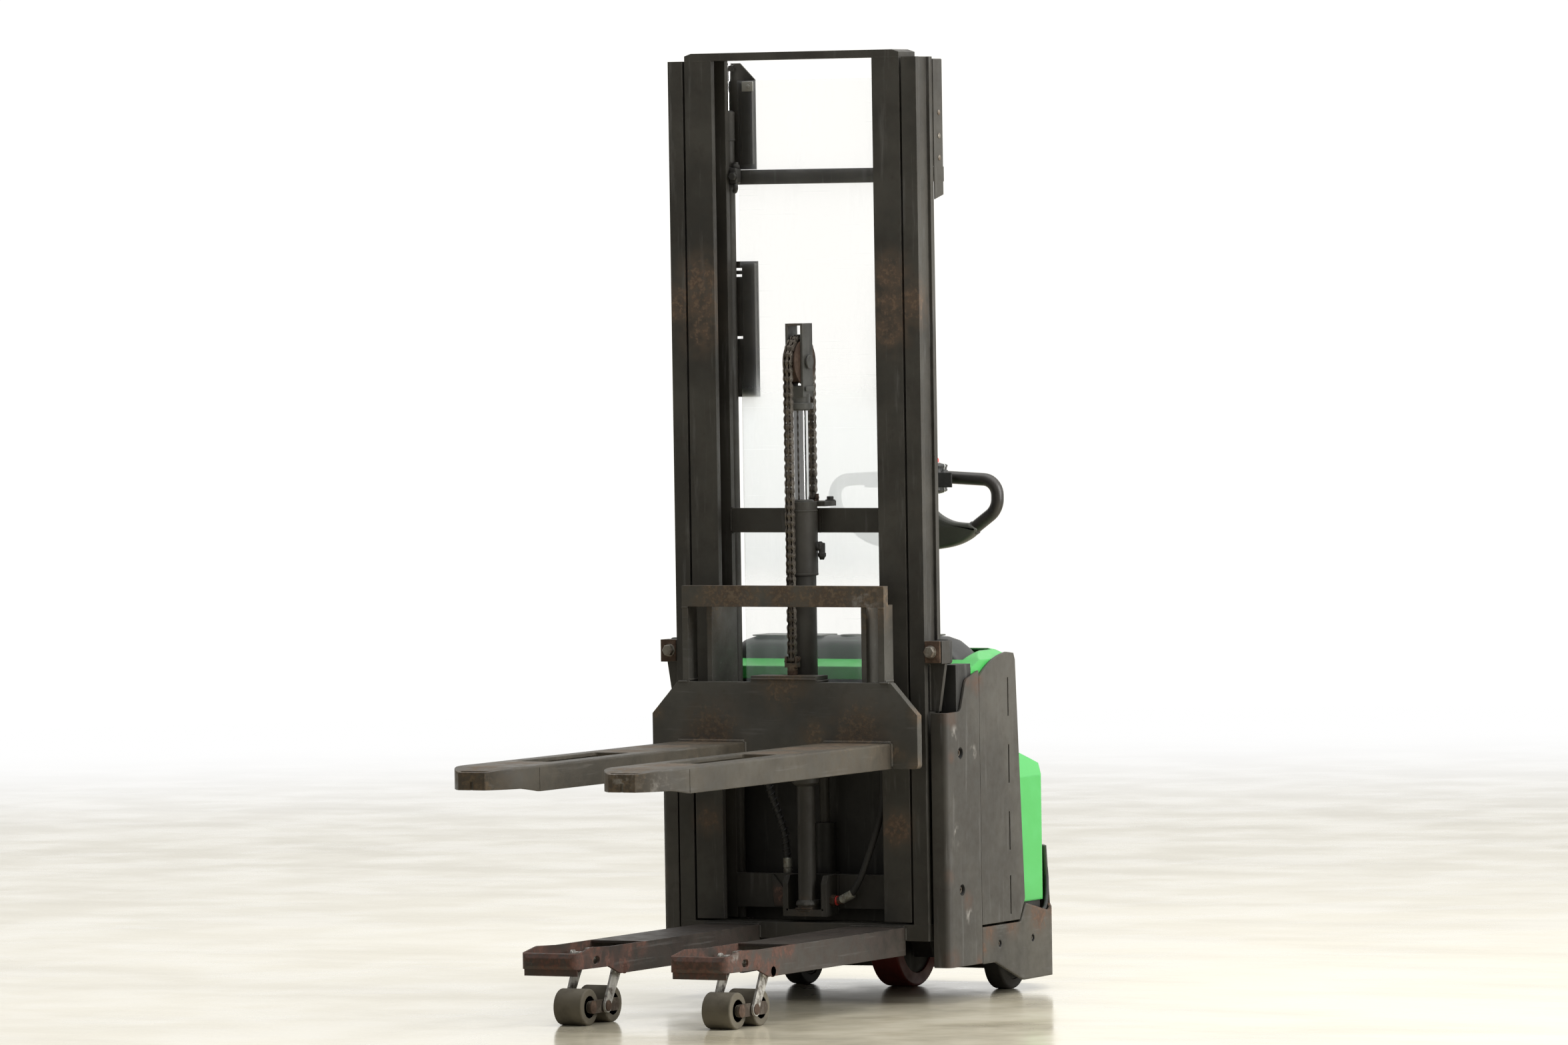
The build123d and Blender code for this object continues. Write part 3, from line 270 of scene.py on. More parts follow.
def screen_sheet(name):
    """Clear sheet with wipe marks and a milky veil at the height of the tiller."""
    g = Graph(name)
    axes = g.add("SeparateXYZ")
    g.put(axes.inputs[0], g.place)
    wipes = g.noise(1.0, detail=5, rough=0.6, stretch=(14, 14, 3))
    lines = g.noise(1.0, detail=2, rough=0.5, stretch=(3, 3, 190))
    haze = g.band(axes.outputs[2], 0.96, 1.06, 0.06, 0.5)
    haze = g.times(haze, g.band(axes.outputs[2], 1.52, 1.36, 0.12, 1.0))
    haze = g.plus(haze, g.band(wipes, 0.45, 0.8, 0.0, 0.1))
    haze = g.plus(haze, g.band(lines, 0.66, 0.76, 0.0, 0.08))
    clear = g.add("BsdfTransparent")
    milky = g.add("BsdfTranslucent")
    milky.inputs["Color"].default_value = (0.93, 0.96, 1.0, 1.0)
    gloss = g.add("BsdfGlossy")
    g.put(gloss.inputs["Roughness"], g.band(wipes, 0.3, 0.7, 0.08, 0.25))
    return g.output(g.layers(0.03, g.layers(haze, clear, milky), gloss))


DARK = (0.02, 0.0192, 0.016)
FADED = (0.043, 0.0412, 0.035)
ARM_X = 195     # centre of each fork and support arm
mast_rust = [(s * x, 86, 1655 + z, 90) for s in (-1, 1)
             for x, z in ((312, 0), (252, 0), (252, 70), (252, -60))]
mast_rust += [(252, 86, 415, 75), (-252, 86, 430, 60), (0, 60, 218, 60), (0, 196, 1188, 70)]
frame_paint = painted("frame_enamel", DARK, FADED, rust=-0.01, film=0.05, spots=mast_rust,
                      under=(0.15, 0.1, 0.066))
carriage_spots = [(0, 0, 967, 90), (130, 0, 967, 170), (240, 0, 960, 120), (-150, 0, 967, 170),
                  (0, 0, 765, 110), (0, 40, 779, 90), (195, 0, 640, 130), (-195, 0, 640, 130),
                  (80, 0, 640, 60), (300, 0, 600, 40), (352, 0, 568, 38), (354, 10, 690, 40),
                  (-350, 0, 690, 40)]
carriage_paint = painted("carriage_enamel", (0.04, 0.039, 0.034), (0.072, 0.07, 0.062), rust=0.01,
                         grain=(7, 60, 90), spots=carriage_spots, bare=[(215, 0, 950, 60)],
                         under=(0.15, 0.108, 0.068), film=0.05)
fork_spots = [(s * ARM_X, y, 624, r) for s in (-1, 1)
              for y, r in ((-60, 150), (-230, 150), (-420, 120), (-930, 120), (-1080, 110))]
fork_spots += [(s * ARM_X, -1154, 600, 120) for s in (-1, 1)]
fork_paint = painted("fork_enamel", (0.028, 0.0258, 0.0205), (0.056, 0.051, 0.04), rust=0.03,
                     film=0.16, grain=(70, 4, 90), spots=fork_spots, under=(0.115, 0.083, 0.05),
                     edge=4.0, bare=[(-285, -1120, 590, 60), (285, -1130, 585, 70), (195, -1154, 610, 50)])
arm_spots = [(s * ARM_X + k * 75, y, z, r) for s in (-1, 1) for k in (-1, 1)
             for y, z, r in ((-800, 165, 75), (-730, 178, 90), (-655, 145, 60), (-590, 125, 70),
                             (-560, 180, 60), (-500, 182, 50))]
arm_spots += [(s * ARM_X, -813, 160, 90) for s in (-1, 1)]
arm_paint = painted("arm_enamel", (0.017, 0.0155, 0.013), (0.03, 0.028, 0.023), rust=0.025, film=0.15,
                    grain=(70, 4, 90), spots=arm_spots, under=PRIMER, bare=[(270, -770, 172, 34)])
panel_spots = [(s * 385, y, z, r) for s in (-1, 1)
               for y, z, r in ((118, 682, 42), (252, 758, 48), (205, 765, 26), (115, 585, 22),
                               (190, 240, 34), (115, 100, 45), (245, 88, 30), (100, 300, 26))]
panel_paint = painted("panel_enamel", (0.034, 0.0325, 0.028), (0.064, 0.0615, 0.053), rust=-0.03,
                      film=0.06, grain=(60, 60, 4), spots=panel_spots, under=(0.115, 0.06, 0.038),
                      edge=3.0, bare=[(385, 135, 400, 36), (385, 225, 590, 26), (385, 130, 640, 26),
                                      (385, 195, 205, 26)])
skirt_spots = [(s * x, y, z, r) for s in (-1, 1)
               for x, y, z, r in ((385, 300, 160, 60), (385, 420, 170, 55), (383, 560, 195, 90),
                                  (378, 640, 200, 70), (340, 715, 190, 50), (385, 268, 120, 30))]
skirt_paint = painted("skirt_enamel", (0.033, 0.0305, 0.0255), (0.06, 0.0555, 0.0455), rust=-0.005,
                      grain=(8, 8, 60), spots=skirt_spots, under=(0.125, 0.07, 0.044), edge=7.0)
bay_paint = painted("bay_enamel", (0.016, 0.016, 0.015), (0.028, 0.0275, 0.025), rust=-0.06)
chrome = metal("chrome_plate", (0.8, 0.8, 0.8), (0.34, 0.3, 0.26), 0.1, rub=(900, 900, 2), dirt=0.02,
               depth=0.004)
yoke_steel = painted("yoke_enamel", (0.05, 0.05, 0.045), (0.092, 0.092, 0.084), rust=-0.03,
                     spots=[(0, 80, 1600, 30)], rough=0.48)
chain_steel = metal("chain_steel", (0.165, 0.145, 0.122), (0.04, 0.031, 0.024), 0.4, dirt=0.46, shine=0.8)
sheave_steel = metal("sheave_steel", (0.12, 0.08, 0.055), (0.05, 0.028, 0.018), 0.5, dirt=0.6, shine=0.6)
rusty_steel = metal("rusty_steel", (0.12, 0.075, 0.048), (0.055, 0.032, 0.02), 0.62, dirt=0.6, shine=0.25)
link_steel = metal("link_steel", (0.56, 0.55, 0.52), (0.11, 0.095, 0.08), 0.42, rub=(60, 160, 60),
                   dirt=0.52, shine=0.85)
bogie_steel = metal("bogie_steel", (0.15, 0.13, 0.105), (0.05, 0.036, 0.025), 0.5, dirt=0.62, shine=0.6)
plated_bolt = metal("plated_bolt", (0.24, 0.225, 0.195), (0.09, 0.065, 0.045), 0.45, dirt=0.5, shine=0.7)
roller_steel = metal("roller_steel", (0.3, 0.29, 0.27), (0.06, 0.05, 0.04), 0.35, dirt=0.4)
cast_steel = painted("cast_enamel", (0.022, 0.0215, 0.02), (0.04, 0.0385, 0.035), rust=-0.01, rough=0.62)
battery_case = moulded("battery_case", (0.05, 0.055, 0.06), (0.11, 0.11, 0.105), rough=0.5)
motor_case = moulded("motor_case", (0.045, 0.045, 0.05), (0.1, 0.098, 0.095), rough=0.42)
black_plastic = moulded("black_plastic", (0.02, 0.0205, 0.0205), (0.062, 0.064, 0.062), rough=0.46)
grip_rubber = moulded("grip_rubber", (0.017, 0.015, 0.0135), (0.05, 0.044, 0.038), rough=0.34, depth=0.03)
wing_plastic = moulded("wing_plastic", (0.04, 0.042, 0.034), (0.075, 0.078, 0.064), rough=0.42)
seal_rubber = moulded("seal_rubber", (0.014, 0.014, 0.014), (0.04, 0.039, 0.037), rough=0.7, grain=400)
hose_rubber = moulded("hose_rubber", (0.02, 0.02, 0.019), (0.06, 0.057, 0.052), rough=0.55, grain=500)
nylon = moulded("nylon_block", (0.3, 0.3, 0.28), (0.16, 0.15, 0.13), rough=0.5, dirt=0.6)
red_plastic = moulded("red_plastic", (0.56, 0.03, 0.022), (0.3, 0.035, 0.028), rough=0.35)
green_plastic = moulded("green_plastic", (0.05, 0.37, 0.075), (0.09, 0.43, 0.13), rough=0.36, grain=700,
                        depth=0.02, edge=7.0, dirt=0.5)
load_tyre = moulded("load_tyre", (0.112, 0.098, 0.07), (0.058, 0.05, 0.037), rough=0.72, grain=180,
                    depth=0.35, edge=2.0, dirt=0.75)
caster_tyre = moulded("caster_tyre", (0.02, 0.019, 0.018), (0.065, 0.055, 0.045), rough=0.62, grain=200,
                      depth=0.2, dirt=0.5)
drive_tyre = moulded("drive_tyre", (0.17, 0.026, 0.018), (0.075, 0.02, 0.015), rough=0.5, grain=160,
                     depth=0.3, dirt=0.6)
screen_clear = screen_sheet("screen_sheet")


def dress(material, *names):
    for name in names:
        for material_slot in nodes[name].material_slots:
            material_slot.material = material


dress(frame_paint, "outer_uprights", "outer_crossbars", "inner_uprights", "inner_crossbars",
      "lift_cylinder", "side_cylinders", "rear_guards")
dress(bay_paint, "chassis_frame", "initial_lift_cylinder")
dress(carriage_paint, "carriage_frame")
dress(fork_paint, "fork_left", "fork_right")
dress(arm_paint, "support_arm_left", "support_arm_right")
dress(panel_paint, "front_panels", "rear_panels")
dress(skirt_paint, "skirt")
dress(chrome, "lift_rod", "side_rods")
dress(yoke_steel, "yoke")
dress(sheave_steel, "chain_sheave")
dress(link_steel, "wheel_links", "push_rods")
dress(bogie_steel, "bogie_left", "bogie_right")
dress(rusty_steel, "pivot_pins")
dress(roller_steel, "slew_bearing", "outer_rollers", "inner_rollers", "carriage_rollers_upper",
      "carriage_rollers_lower")
dress(load_tyre, *(f"load_wheel_{side}_{end}" for side in ("left", "right") for end in ("front", "rear")))
dress(cast_steel, "drive_unit", "drive_hub", "caster_fork_left", "caster_fork_right")
dress(drive_tyre, "drive_tyre")
dress(caster_tyre, "caster_wheel_left", "caster_wheel_right")
dress(green_plastic, "top_hood", "motor_hood")
dress(black_plastic, "console", "tiller_arm", "tiller_head", "speed_paddles", "lift_rocker")
dress(red_plastic, "belly_button", "emergency_stop")
dress(plated_bolt, "key_switch")
dress(battery_case, "battery")
dress(motor_case, "power_unit", "controller")
dress(hose_rubber, "hydraulic_hoses")
dress(screen_clear, "guard_screen")


# ======== Shapes ========

UP = (0, 0, 1)
LEVEL = Matrix.Identity(4)
FACING = Matrix(((1, 0, 0, 0), (0, 0, 1, 0), (0, 1, 0, 0), (0, 0, 0, 1)))      # u, v, w = x, z, y
SECTION = Matrix(((0, 0, 1, 0), (1, 0, 0, 0), (0, 1, 0, 0), (0, 0, 0, 1)))     # u, v, w = y, z, x


def offset(outline, by):
    """The outline moved inwards by that much; it runs anticlockwise."""
    moved = []
    for index, (u, v) in enumerate(outline):
        before = Vector((u, v)) - Vector(outline[index - 1])
        after = Vector(outline[(index + 1) % len(outline)]) - Vector((u, v))
        before.normalize()
        after.normalize()
        inward = Vector((-before.y - after.y, before.x + after.x)).normalized()
        reach = by / max(0.35, inward.dot(Vector((-before.y, before.x))))
        moved.append((u + inward.x * reach, v + inward.y * reach))
    return moved


def rounded_box(u0, u1, v0, v1, radius, steps=4):
    """Anticlockwise outline of a box with round corners; u0 and u1 may come in either order."""
    u0, u1 = sorted((u0, u1))
    outline = []
    for cu, cv, turn in ((u1 - radius, v1 - radius, 0), (u0 + radius, v1 - radius, 1),
                         (u0 + radius, v0 + radius, 2), (u1 - radius, v0 + radius, 3)):
        for step in range(steps + 1):
            angle = (turn + step / steps) * pi / 2
            outline.append((cu + radius * cos(angle), cv + radius * sin(angle)))
    return outline


def smooth_line(points, per_run=6, closed=False):
    """Catmull-Rom curve through the points, any dimension."""
    count = len(points)
    runs = count if closed else count - 1
    line = []
    for run in range(runs):
        ends = [points[(run + k) % count] if closed else points[min(max(run + k, 0), count - 1)]
                for k in (-1, 0, 1, 2)]
        a, b, c, d = (Vector(p) for p in ends)
        for step in range(per_run):
            t = step / per_run
            line.append(0.5 * (2 * b + (c - a) * t + (2 * a - 5 * b + 4 * c - d) * t * t
                               + (3 * b - a - 3 * c + d) * t ** 3))
    if not closed:
        line.append(Vector(points[-1]))
    return line


class Shape:
    """Closed solids of one piece, collected in a bmesh in millimetres from the heel."""

    def __init__(self):
        self.mesh = bmesh.new()

    def skin(self, rings, loop=False):
        made = [[self.mesh.verts.new(point) for point in ring] for ring in rings]
        pairs = list(zip(made, made[1:]))
        if loop:
            pairs.append((made[-1], made[0]))
        for first, second in pairs:
            for k in range(len(first)):
                j = (k + 1) % len(first)
                self.mesh.faces.new((first[k], first[j], second[j], second[k]))
        if not loop:
            self.mesh.faces.new(made[0])
            self.mesh.faces.new(made[-1])

    def lathe(self, start, axis, profile, steps=28, ring=False):
        """Turns (along, radius) pairs about the axis from start; a ring's profile is closed."""
        turn = Vector((0, 0, 1)).rotation_difference(Vector(axis)).to_matrix()
        circle = [(cos(2 * pi * k / steps), sin(2 * pi * k / steps)) for k in range(steps)]
        self.skin([[Vector(start) + turn @ Vector((r * c, r * s, along)) for c, s in circle]
                   for along, r in profile], loop=ring)

    def two_faces(self, centre, half, profile, steps):
        """The same turned profile standing outwards on both faces, each half away from centre."""
        x, y, z = centre
        for way in (-1, 1):
            self.lathe((x + way * half, y, z), (way, 0, 0), profile, steps)

    def tube(self, line, radius, steps=14, loop=False):
        """Round bar along a line; radius may be a number or one number for each point."""
        line = [Vector(point) for point in line]
        rings = []
        up = None
        for index, point in enumerate(line):
            ahead = line[(index + 1) % len(line)] if loop or index + 1 < len(line) else point
            behind = line[index - 1] if loop or index else point
            along = (ahead - behind).normalized()
            if up is None:
                up = along.orthogonal().normalized()
            up = (up - along * up.dot(along)).normalized()
            side = along.cross(up)
            size = radius[index] if isinstance(radius, list) else radius
            rings.append([point + size * (up * cos(2 * pi * k / steps) + side * sin(2 * pi * k / steps))
                          for k in range(steps)])
        self.skin(rings, loop=loop)

    def plate(self, outline, w0, w1, plane=LEVEL, edge=0.0, steps=3):
        """Flat or thick plate of an anticlockwise outline, with its rims rounded by edge."""
        w0, w1 = sorted((w0, w1))
        layers = [(0.0, w0), (0.0, w1)]
        if edge:
            arc = [(edge * (1 - sin(k * pi / 2 / steps)), edge * (1 - cos(k * pi / 2 / steps)))
                   for k in range(steps + 1)]
            layers = [(inset, w0 + rise) for inset, rise in arc]
            layers += [(inset, w1 - rise) for inset, rise in reversed(arc)]
        self.skin([[plane @ Vector((u, v, w)) for u, v in offset(outline, inset)]
                   for inset, w in layers])

    def box(self, x0, x1, y0, y1, z0, z1, edge=1.0):
        corner = max(edge, 0.3)
        self.plate(rounded_box(x0, x1, y0, y1, corner, steps=3), z0, z1, LEVEL, edge)

    def hexagon(self, start, axis, across, height, washer=0.0):
        """Hexagon head on a washer, standing on start along axis."""
        base = Vector(start)
        along = Vector(axis).normalized()
        if washer:
            self.lathe(base, axis, ((0, washer), (2.0, washer), (2.4, washer - 0.5)), steps=24)
            base = base + 2.2 * along
        turn = Vector((0, 0, 1)).rotation_difference(along).to_matrix()
        radius = across / 2 / cos(pi / 6)
        rings = []
        for rise, size in ((0, radius), (height - 1.2, radius), (height, radius * 0.9)):
            rings.append([base + turn @ Vector((size * cos(k * pi / 3), size * sin(k * pi / 3), rise))
                          for k in range(6)])
        self.skin(rings)

    def weld(self, start, end, radius=3.2, pitch=3.4):
        """Row of overlapping beads from start to end."""
        a, b = Vector(start), Vector(end)
        count = max(4, int((b - a).length / pitch * 3))
        line = [a.lerp(b, k / count) for k in range(count + 1)]
        sizes = [radius * (0.86 + 0.12 * abs(sin(k * pi / 3)) + random.uniform(-0.04, 0.04))
                 for k in range(count + 1)]
        self.tube(line, sizes, steps=8)

    def mirrored_welds(self, rows):
        """Rows of start, end, radius and perhaps pitch, laid on the left and then on the right."""
        for side in (-1, 1):
            for (x0, y0, z0), (x1, y1, z1), *rest in rows:
                self.weld((side * x0, y0, z0), (side * x1, y1, z1), *rest)

    def piece(self, name, material, body=None, slot=None, smooth=32.0):
        bmesh.ops.recalc_face_normals(self.mesh, faces=self.mesh.faces)
        mesh = bpy.data.meshes.new(name)
        self.mesh.to_mesh(mesh)
        self.mesh.free()
        mesh.transform(Matrix.Translation((0, HEEL * MM, 0)) @ Matrix.Scale(MM, 4))
        mesh.shade_smooth()
        mesh.set_sharp_from_angle(angle=radians(smooth))
        mesh.materials.append(material)
        made = bpy.data.objects.new(name, mesh)
        bpy.context.scene.collection.objects.link(made)
        if body:
            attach(made, body)
        return made


# ======== Camera, floor and light ========

YAW, PITCH, ROLL = radians(27.949), radians(1.781), radians(-0.898)
right = Vector((cos(YAW), sin(YAW), 0))
back = Vector((sin(YAW) * cos(PITCH), -cos(YAW) * cos(PITCH), sin(PITCH)))
up = back.cross(right)
camera_right = cos(ROLL) * right + sin(ROLL) * up
camera_up = -sin(ROLL) * right + cos(ROLL) * up
lens = bpy.data.cameras.new("camera")
lens.lens = 237.63
lens.sensor_width = 36.0
lens.clip_end = 200.0
camera = bpy.data.objects.new("camera", lens)
bpy.context.scene.collection.objects.link(camera)
camera.matrix_world = Matrix.Translation((11.4645, -21.4077, 1.9021)) @ Matrix(
    (camera_right, camera_up, back)).transposed().to_4x4()
bpy.context.scene.camera = camera
bpy.context.scene.view_settings.view_transform = "Standard"

FLOOR_RADIUS = 14000.0
floor_shape = Shape()
ring = [Vector((FLOOR_RADIUS * cos(k * pi / 48), FLOOR_RADIUS * sin(k * pi / 48), 0)) for k in range(96)]
floor_shape.skin([[p - Vector((0, 0, 20)) for p in ring], ring])
g = Graph("floor_stone")
distance = g.add("VectorMath", operation="LENGTH")
g.put(distance.inputs[0], g.place)
fade = g.band(distance.outputs["Value"], 6.5, 12.5)
veins = g.noise(1.0, detail=6, rough=0.6, stretch=(0.9, 2.6, 1))
cloud = g.noise(2.4, detail=5, rough=0.6)
tone = g.mix(g.band(veins, 0.4, 0.7), (0.6, 0.555, 0.435), (0.48, 0.435, 0.32))
tone = g.mix(g.times(g.band(cloud, 0.45, 0.75), 0.5), tone, (0.64, 0.605, 0.515))
stone = g.add("BsdfPrincipled")
g.put(stone.inputs["Base Color"], tone)
g.put(stone.inputs["Roughness"], g.band(cloud, 0.3, 0.7, 0.1, 0.24))
glow = g.add("Emission")
floor_shape.piece("floor", g.output(g.layers(fade, stone, glow)))

world = bpy.data.worlds.new("studio")
bpy.context.scene.world = world
world.use_nodes = True
sky = world.node_tree.nodes
joins = world.node_tree.links
axes = sky.new("ShaderNodeSeparateXYZ")
joins.new(sky.new("ShaderNodeTexCoord").outputs["Generated"], axes.inputs[0])
dimming = sky.new("ShaderNodeMapRange")
dimming.interpolation_type = "SMOOTHSTEP"
for socket, number in zip(dimming.inputs[1:5], (-0.5, 0.2, 0.2, 1.06)):
    socket.default_value = number
joins.new(axes.outputs[1], dimming.inputs[0])
joins.new(dimming.outputs[0], sky["Background"].inputs["Strength"])
sky["Background"].inputs["Color"].default_value = (1.0, 0.99, 0.955, 1.0)


def softbox(name, place, target, size, power, colour=(1.0, 0.99, 0.97)):
    light = bpy.data.lights.new(name, "AREA")
    light.shape = "RECTANGLE"
    light.size, light.size_y = size
    light.energy = power
    light.color = colour
    lamp = bpy.data.objects.new(name, light)
    bpy.context.scene.collection.objects.link(lamp)
    lamp.location = place
    lamp.rotation_euler = (Vector(target) - Vector(place)).to_track_quat("-Z", "Y").to_euler()


softbox("overhead", (0.6, 0.2, 5.2), (0, 0, 0.6), (5.0, 5.0), 200)
softbox("side", (5.5, 0.6, 3.2), (0, 0, 1.3), (3.0, 4.5), 390)
softbox("front", (1.5, -7.0, 3.2), (0, 0, 0.9), (4.0, 3.0), 34)


# ======== Lift chain ========

CHAIN_PITCH = 19.05
CHAIN_HALF = high("chain_front").x
PLATE_HALF = (high("chain_front").y - low("chain_front").y) / 2 - 0.2
FRONT_Y = middle("chain_front").y
REAR_Y = middle("chain_rear").y
ANCHOR_Z = low("chain_front").z
REAR_LOW = low("chain_rear").z
SHEAVE_Z = high("chain_front").z
WRAP_RADIUS = (REAR_Y - FRONT_Y) / 2
WRAP_LINKS = 10
CYL_Y = (REAR_Y + FRONT_Y) / 2


def chain_link(shape, p, q, inner, outer):
    """Both side plates between pins p and q, which are (y, z) pairs."""
    start, end = Vector(p), Vector(q)
    along = (end - start).normalized()
    across = Vector((-along.y, along.x))
    outline = []
    for centre, way in ((end, 1), (start, -1)):
        for step in range(7):
            angle = (-0.5 + step / 6) * pi
            outline.append(centre + PLATE_HALF * way * (along * cos(angle) + across * sin(angle)))
        outline.append((start + end) / 2 + across * way * PLATE_HALF * 0.62)
    outline = [(point.x, point.y) for point in outline]
    shape.plate(outline, inner, outer, SECTION, edge=0.4, steps=1)
    shape.plate(outline, -outer, -inner, SECTION, edge=0.4, steps=1)


def chain_run(shape, pins, first=0):
    length = 2 * CHAIN_HALF
    for index, (y, z) in enumerate(pins):
        shape.lathe((-6.2, y, z), (1, 0, 0), ((0, 5.2), (0.8, 6), (11.6, 6), (12.4, 5.2)), steps=14)
        shape.lathe((-CHAIN_HALF + 0.1, y, z), (1, 0, 0),
                    ((0, 2), (0.5, 2.6), (length - 0.7, 2.6), (length - 0.2, 2)), steps=10)
        if index + 1 < len(pins):
            inner = (index + first) % 2 == 0
            chain_link(shape, pins[index], pins[index + 1], *((6.7, 8.2) if inner else (8.5, 10.0)))
            chain_link(shape, pins[index], pins[index + 1], 0.3, 3.2)


def straight_chain(node, y, pin_z):
    """One run, stretched between its anchor and the sheave. Returns its number of links."""
    count = round((SHEAVE_Z - pin_z) / CHAIN_PITCH)
    run = Shape()
    chain_run(run, [(y, pin_z + (SHEAVE_Z - pin_z) * k / count) for k in range(count + 1)])
    links = run.piece(f"{node}_links", chain_steel)
    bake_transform(links)
    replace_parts(links, node)
    return count


front_count = straight_chain("chain_front", FRONT_Y, ANCHOR_Z + 6)
straight_chain("chain_rear", REAR_Y, REAR_LOW + 8)
wrap = Shape()
turns = [pi * k / WRAP_LINKS for k in range(WRAP_LINKS + 1)]
chain_run(wrap, [(CYL_Y - WRAP_RADIUS * cos(a), SHEAVE_Z + WRAP_RADIUS * sin(a)) for a in turns],
          first=front_count)
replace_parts(wrap.piece("chain_wrap_links", chain_steel, "lift_rod", "chain_steel"), "chain_wrap")

BOSS_TOP = 779.0
anchor = Shape()
anchor.hexagon((0, FRONT_Y, BOSS_TOP), UP, 24, 12)
anchor.lathe((-19, FRONT_Y, ANCHOR_Z + 6), (1, 0, 0), ((0, 4.2), (0.8, 5), (37.2, 5), (38, 4.2)), steps=16)
for side in (-1, 1):
    anchor.tube([(side * 17.5, FRONT_Y + y, ANCHOR_Z + z) for y, z in ((-7, 2), (3, 7), (8, 12))], 1.3,
                steps=8)
anchor.piece("chain_anchor_pin", rusty_steel, "carriage", "chain_steel")

terminal = Shape()
terminal.box(-13, 13, REAR_Y - 8, REAR_Y + 8, REAR_LOW - 1, REAR_LOW + 3)
for side in (-1, 1):
    terminal.box(side * 10.6, side * 13.5, REAR_Y - 7, REAR_Y + 7, REAR_LOW + 2, REAR_LOW + 17)
terminal.lathe((-16, REAR_Y, REAR_LOW + 8), (1, 0, 0), ((0, 3.4), (0.6, 4), (31.4, 4), (32, 3.4)), steps=14)
terminal.piece("chain_rear_terminal", rusty_steel, "inner_mast", "chain_steel")

# ======== Yoke and cylinder head ========

YOKE_FACE = high("yoke").x - 5
HEAD_TOP = high("lift_cylinder").z
PORT_Y, PORT_Z = CYL_Y + 6, 1082
yoke_details = Shape()
yoke_details.two_faces((0, CYL_Y, SHEAVE_Z), YOKE_FACE, ((0, 17), (2.6, 17), (3.4, 16)), 30)
for side in (-1, 1):
    yoke_details.plate(rounded_box(CYL_Y - 20, CYL_Y + 20, 1450, 1462, 3), side * YOKE_FACE,
                       side * (YOKE_FACE + 1.5), SECTION, edge=0.4)
yoke_details.lathe((0, CYL_Y, 1404), UP, ((0, 22), (1, 23.5), (12, 23.5), (13, 22)), steps=30)
yoke_details.piece("yoke_details", yoke_steel, "lift_rod", "yoke_paint")

head = Shape()
for z, profile in ((HEAD_TOP, ((-1, 31), (3, 30), (5, 26), (5.5, 20.4), (-1, 20.4))),
                   (1012, ((0, 32.5), (0, 34), (1.5, 38.6), (6, 38.6), (8, 37), (8, 32.5))),
                   (1164, ((0, 37.5), (1, 39), (4, 39), (5, 37.5)))):
    head.lathe((0, CYL_Y, z), UP, profile, steps=32, ring=True)
head.piece("cylinder_head_rings", frame_paint, "inner_mast", "frame_paint")

fittings = Shape()
fittings.lathe((36, PORT_Y, PORT_Z), (1, 0, 0), ((0, 11), (8, 11), (9, 9), (16, 9), (17, 7)), steps=20)
fittings.hexagon((44, PORT_Y, PORT_Z), (1, 0, 0), 20, 7)
fittings.lathe((50, PORT_Y, PORT_Z + 8), (0, 0, -1), ((0, 7), (2, 8), (34, 8), (36, 6.5), (40, 5)), steps=18)
fittings.hexagon((50, PORT_Y, PORT_Z - 16), (0, 0, -1), 17, 9)
for side in (-1, 1):
    fittings.hexagon((side * 36, high("lift_cylinder").y - 12, HEAD_TOP), UP, 16, 8, washer=12)
fittings.piece("cylinder_fittings", cast_steel, "inner_mast", "frame_paint")

# ======== Side cylinder clamps, guard screws and screen clips ========

SIDE_X, SIDE_Y = 232.0, 191.0
clamps = Shape()
for side in (-1, 1):
    clamps.lathe((side * SIDE_X, SIDE_Y, 1936), UP,
                 ((0, 20), (1, 24), (7, 24), (8, 20.5), (40, 20.5), (41, 24), (47, 24), (48, 20)), steps=26)
    clamps.box(side * 196, side * 214, 168, 196, 1944, 1982, edge=4)
    clamps.lathe((side * 204, 184, 1982), UP, ((0, 9), (6, 9), (9, 6), (14, 6)), steps=16)
    clamps.hexagon((side * 202, 168, 1962), (0, -1, 0), 17, 9, washer=11)
    clamps.tube(smooth_line([(side * 203, 176, 1946), (side * 199, 172, 1934), (side * 205, 178, 1926)], 4),
                6.0, steps=12)
clamps.piece("side_cylinder_clamps", cast_steel, "lift_frame", "frame_paint")

glands = Shape()
for side in (-1, 1):
    for z, profile in ((2115, ((-2, 18.8), (1, 18.5), (4, 15), (4.5, 11.4), (-2, 11.4))),
                       (2046, ((0, 18.5), (1, 20.6), (5, 20.6), (6, 18.5)))):
        glands.lathe((side * SIDE_X, SIDE_Y, z), UP, profile, steps=26, ring=True)
    glands.hexagon((side * 251, SIDE_Y, 2020), (side, 0, 0), 10, 5)
glands.piece("side_cylinder_glands", cast_steel, "lift_frame", "frame_paint")

screws = Shape()
for z in (2050, 2105, 1998):
    screws.two_faces((0, 196, z), 334.4, ((0, 6.5), (1.4, 6.5), (2.6, 4.5), (2.8, 2)), 16)
for side in (-1, 1):
    for x, z in ((230, 1470), (230, 1700), (300, 2010), (300, 2165)):
        screws.lathe((side * x, 213, z), (0, -1, 0), ((0, 7), (1.6, 7), (2.8, 4.8), (3, 2)), steps=16)
screws.piece("guard_screws", plated_bolt, "lift_frame", "bright_metal")

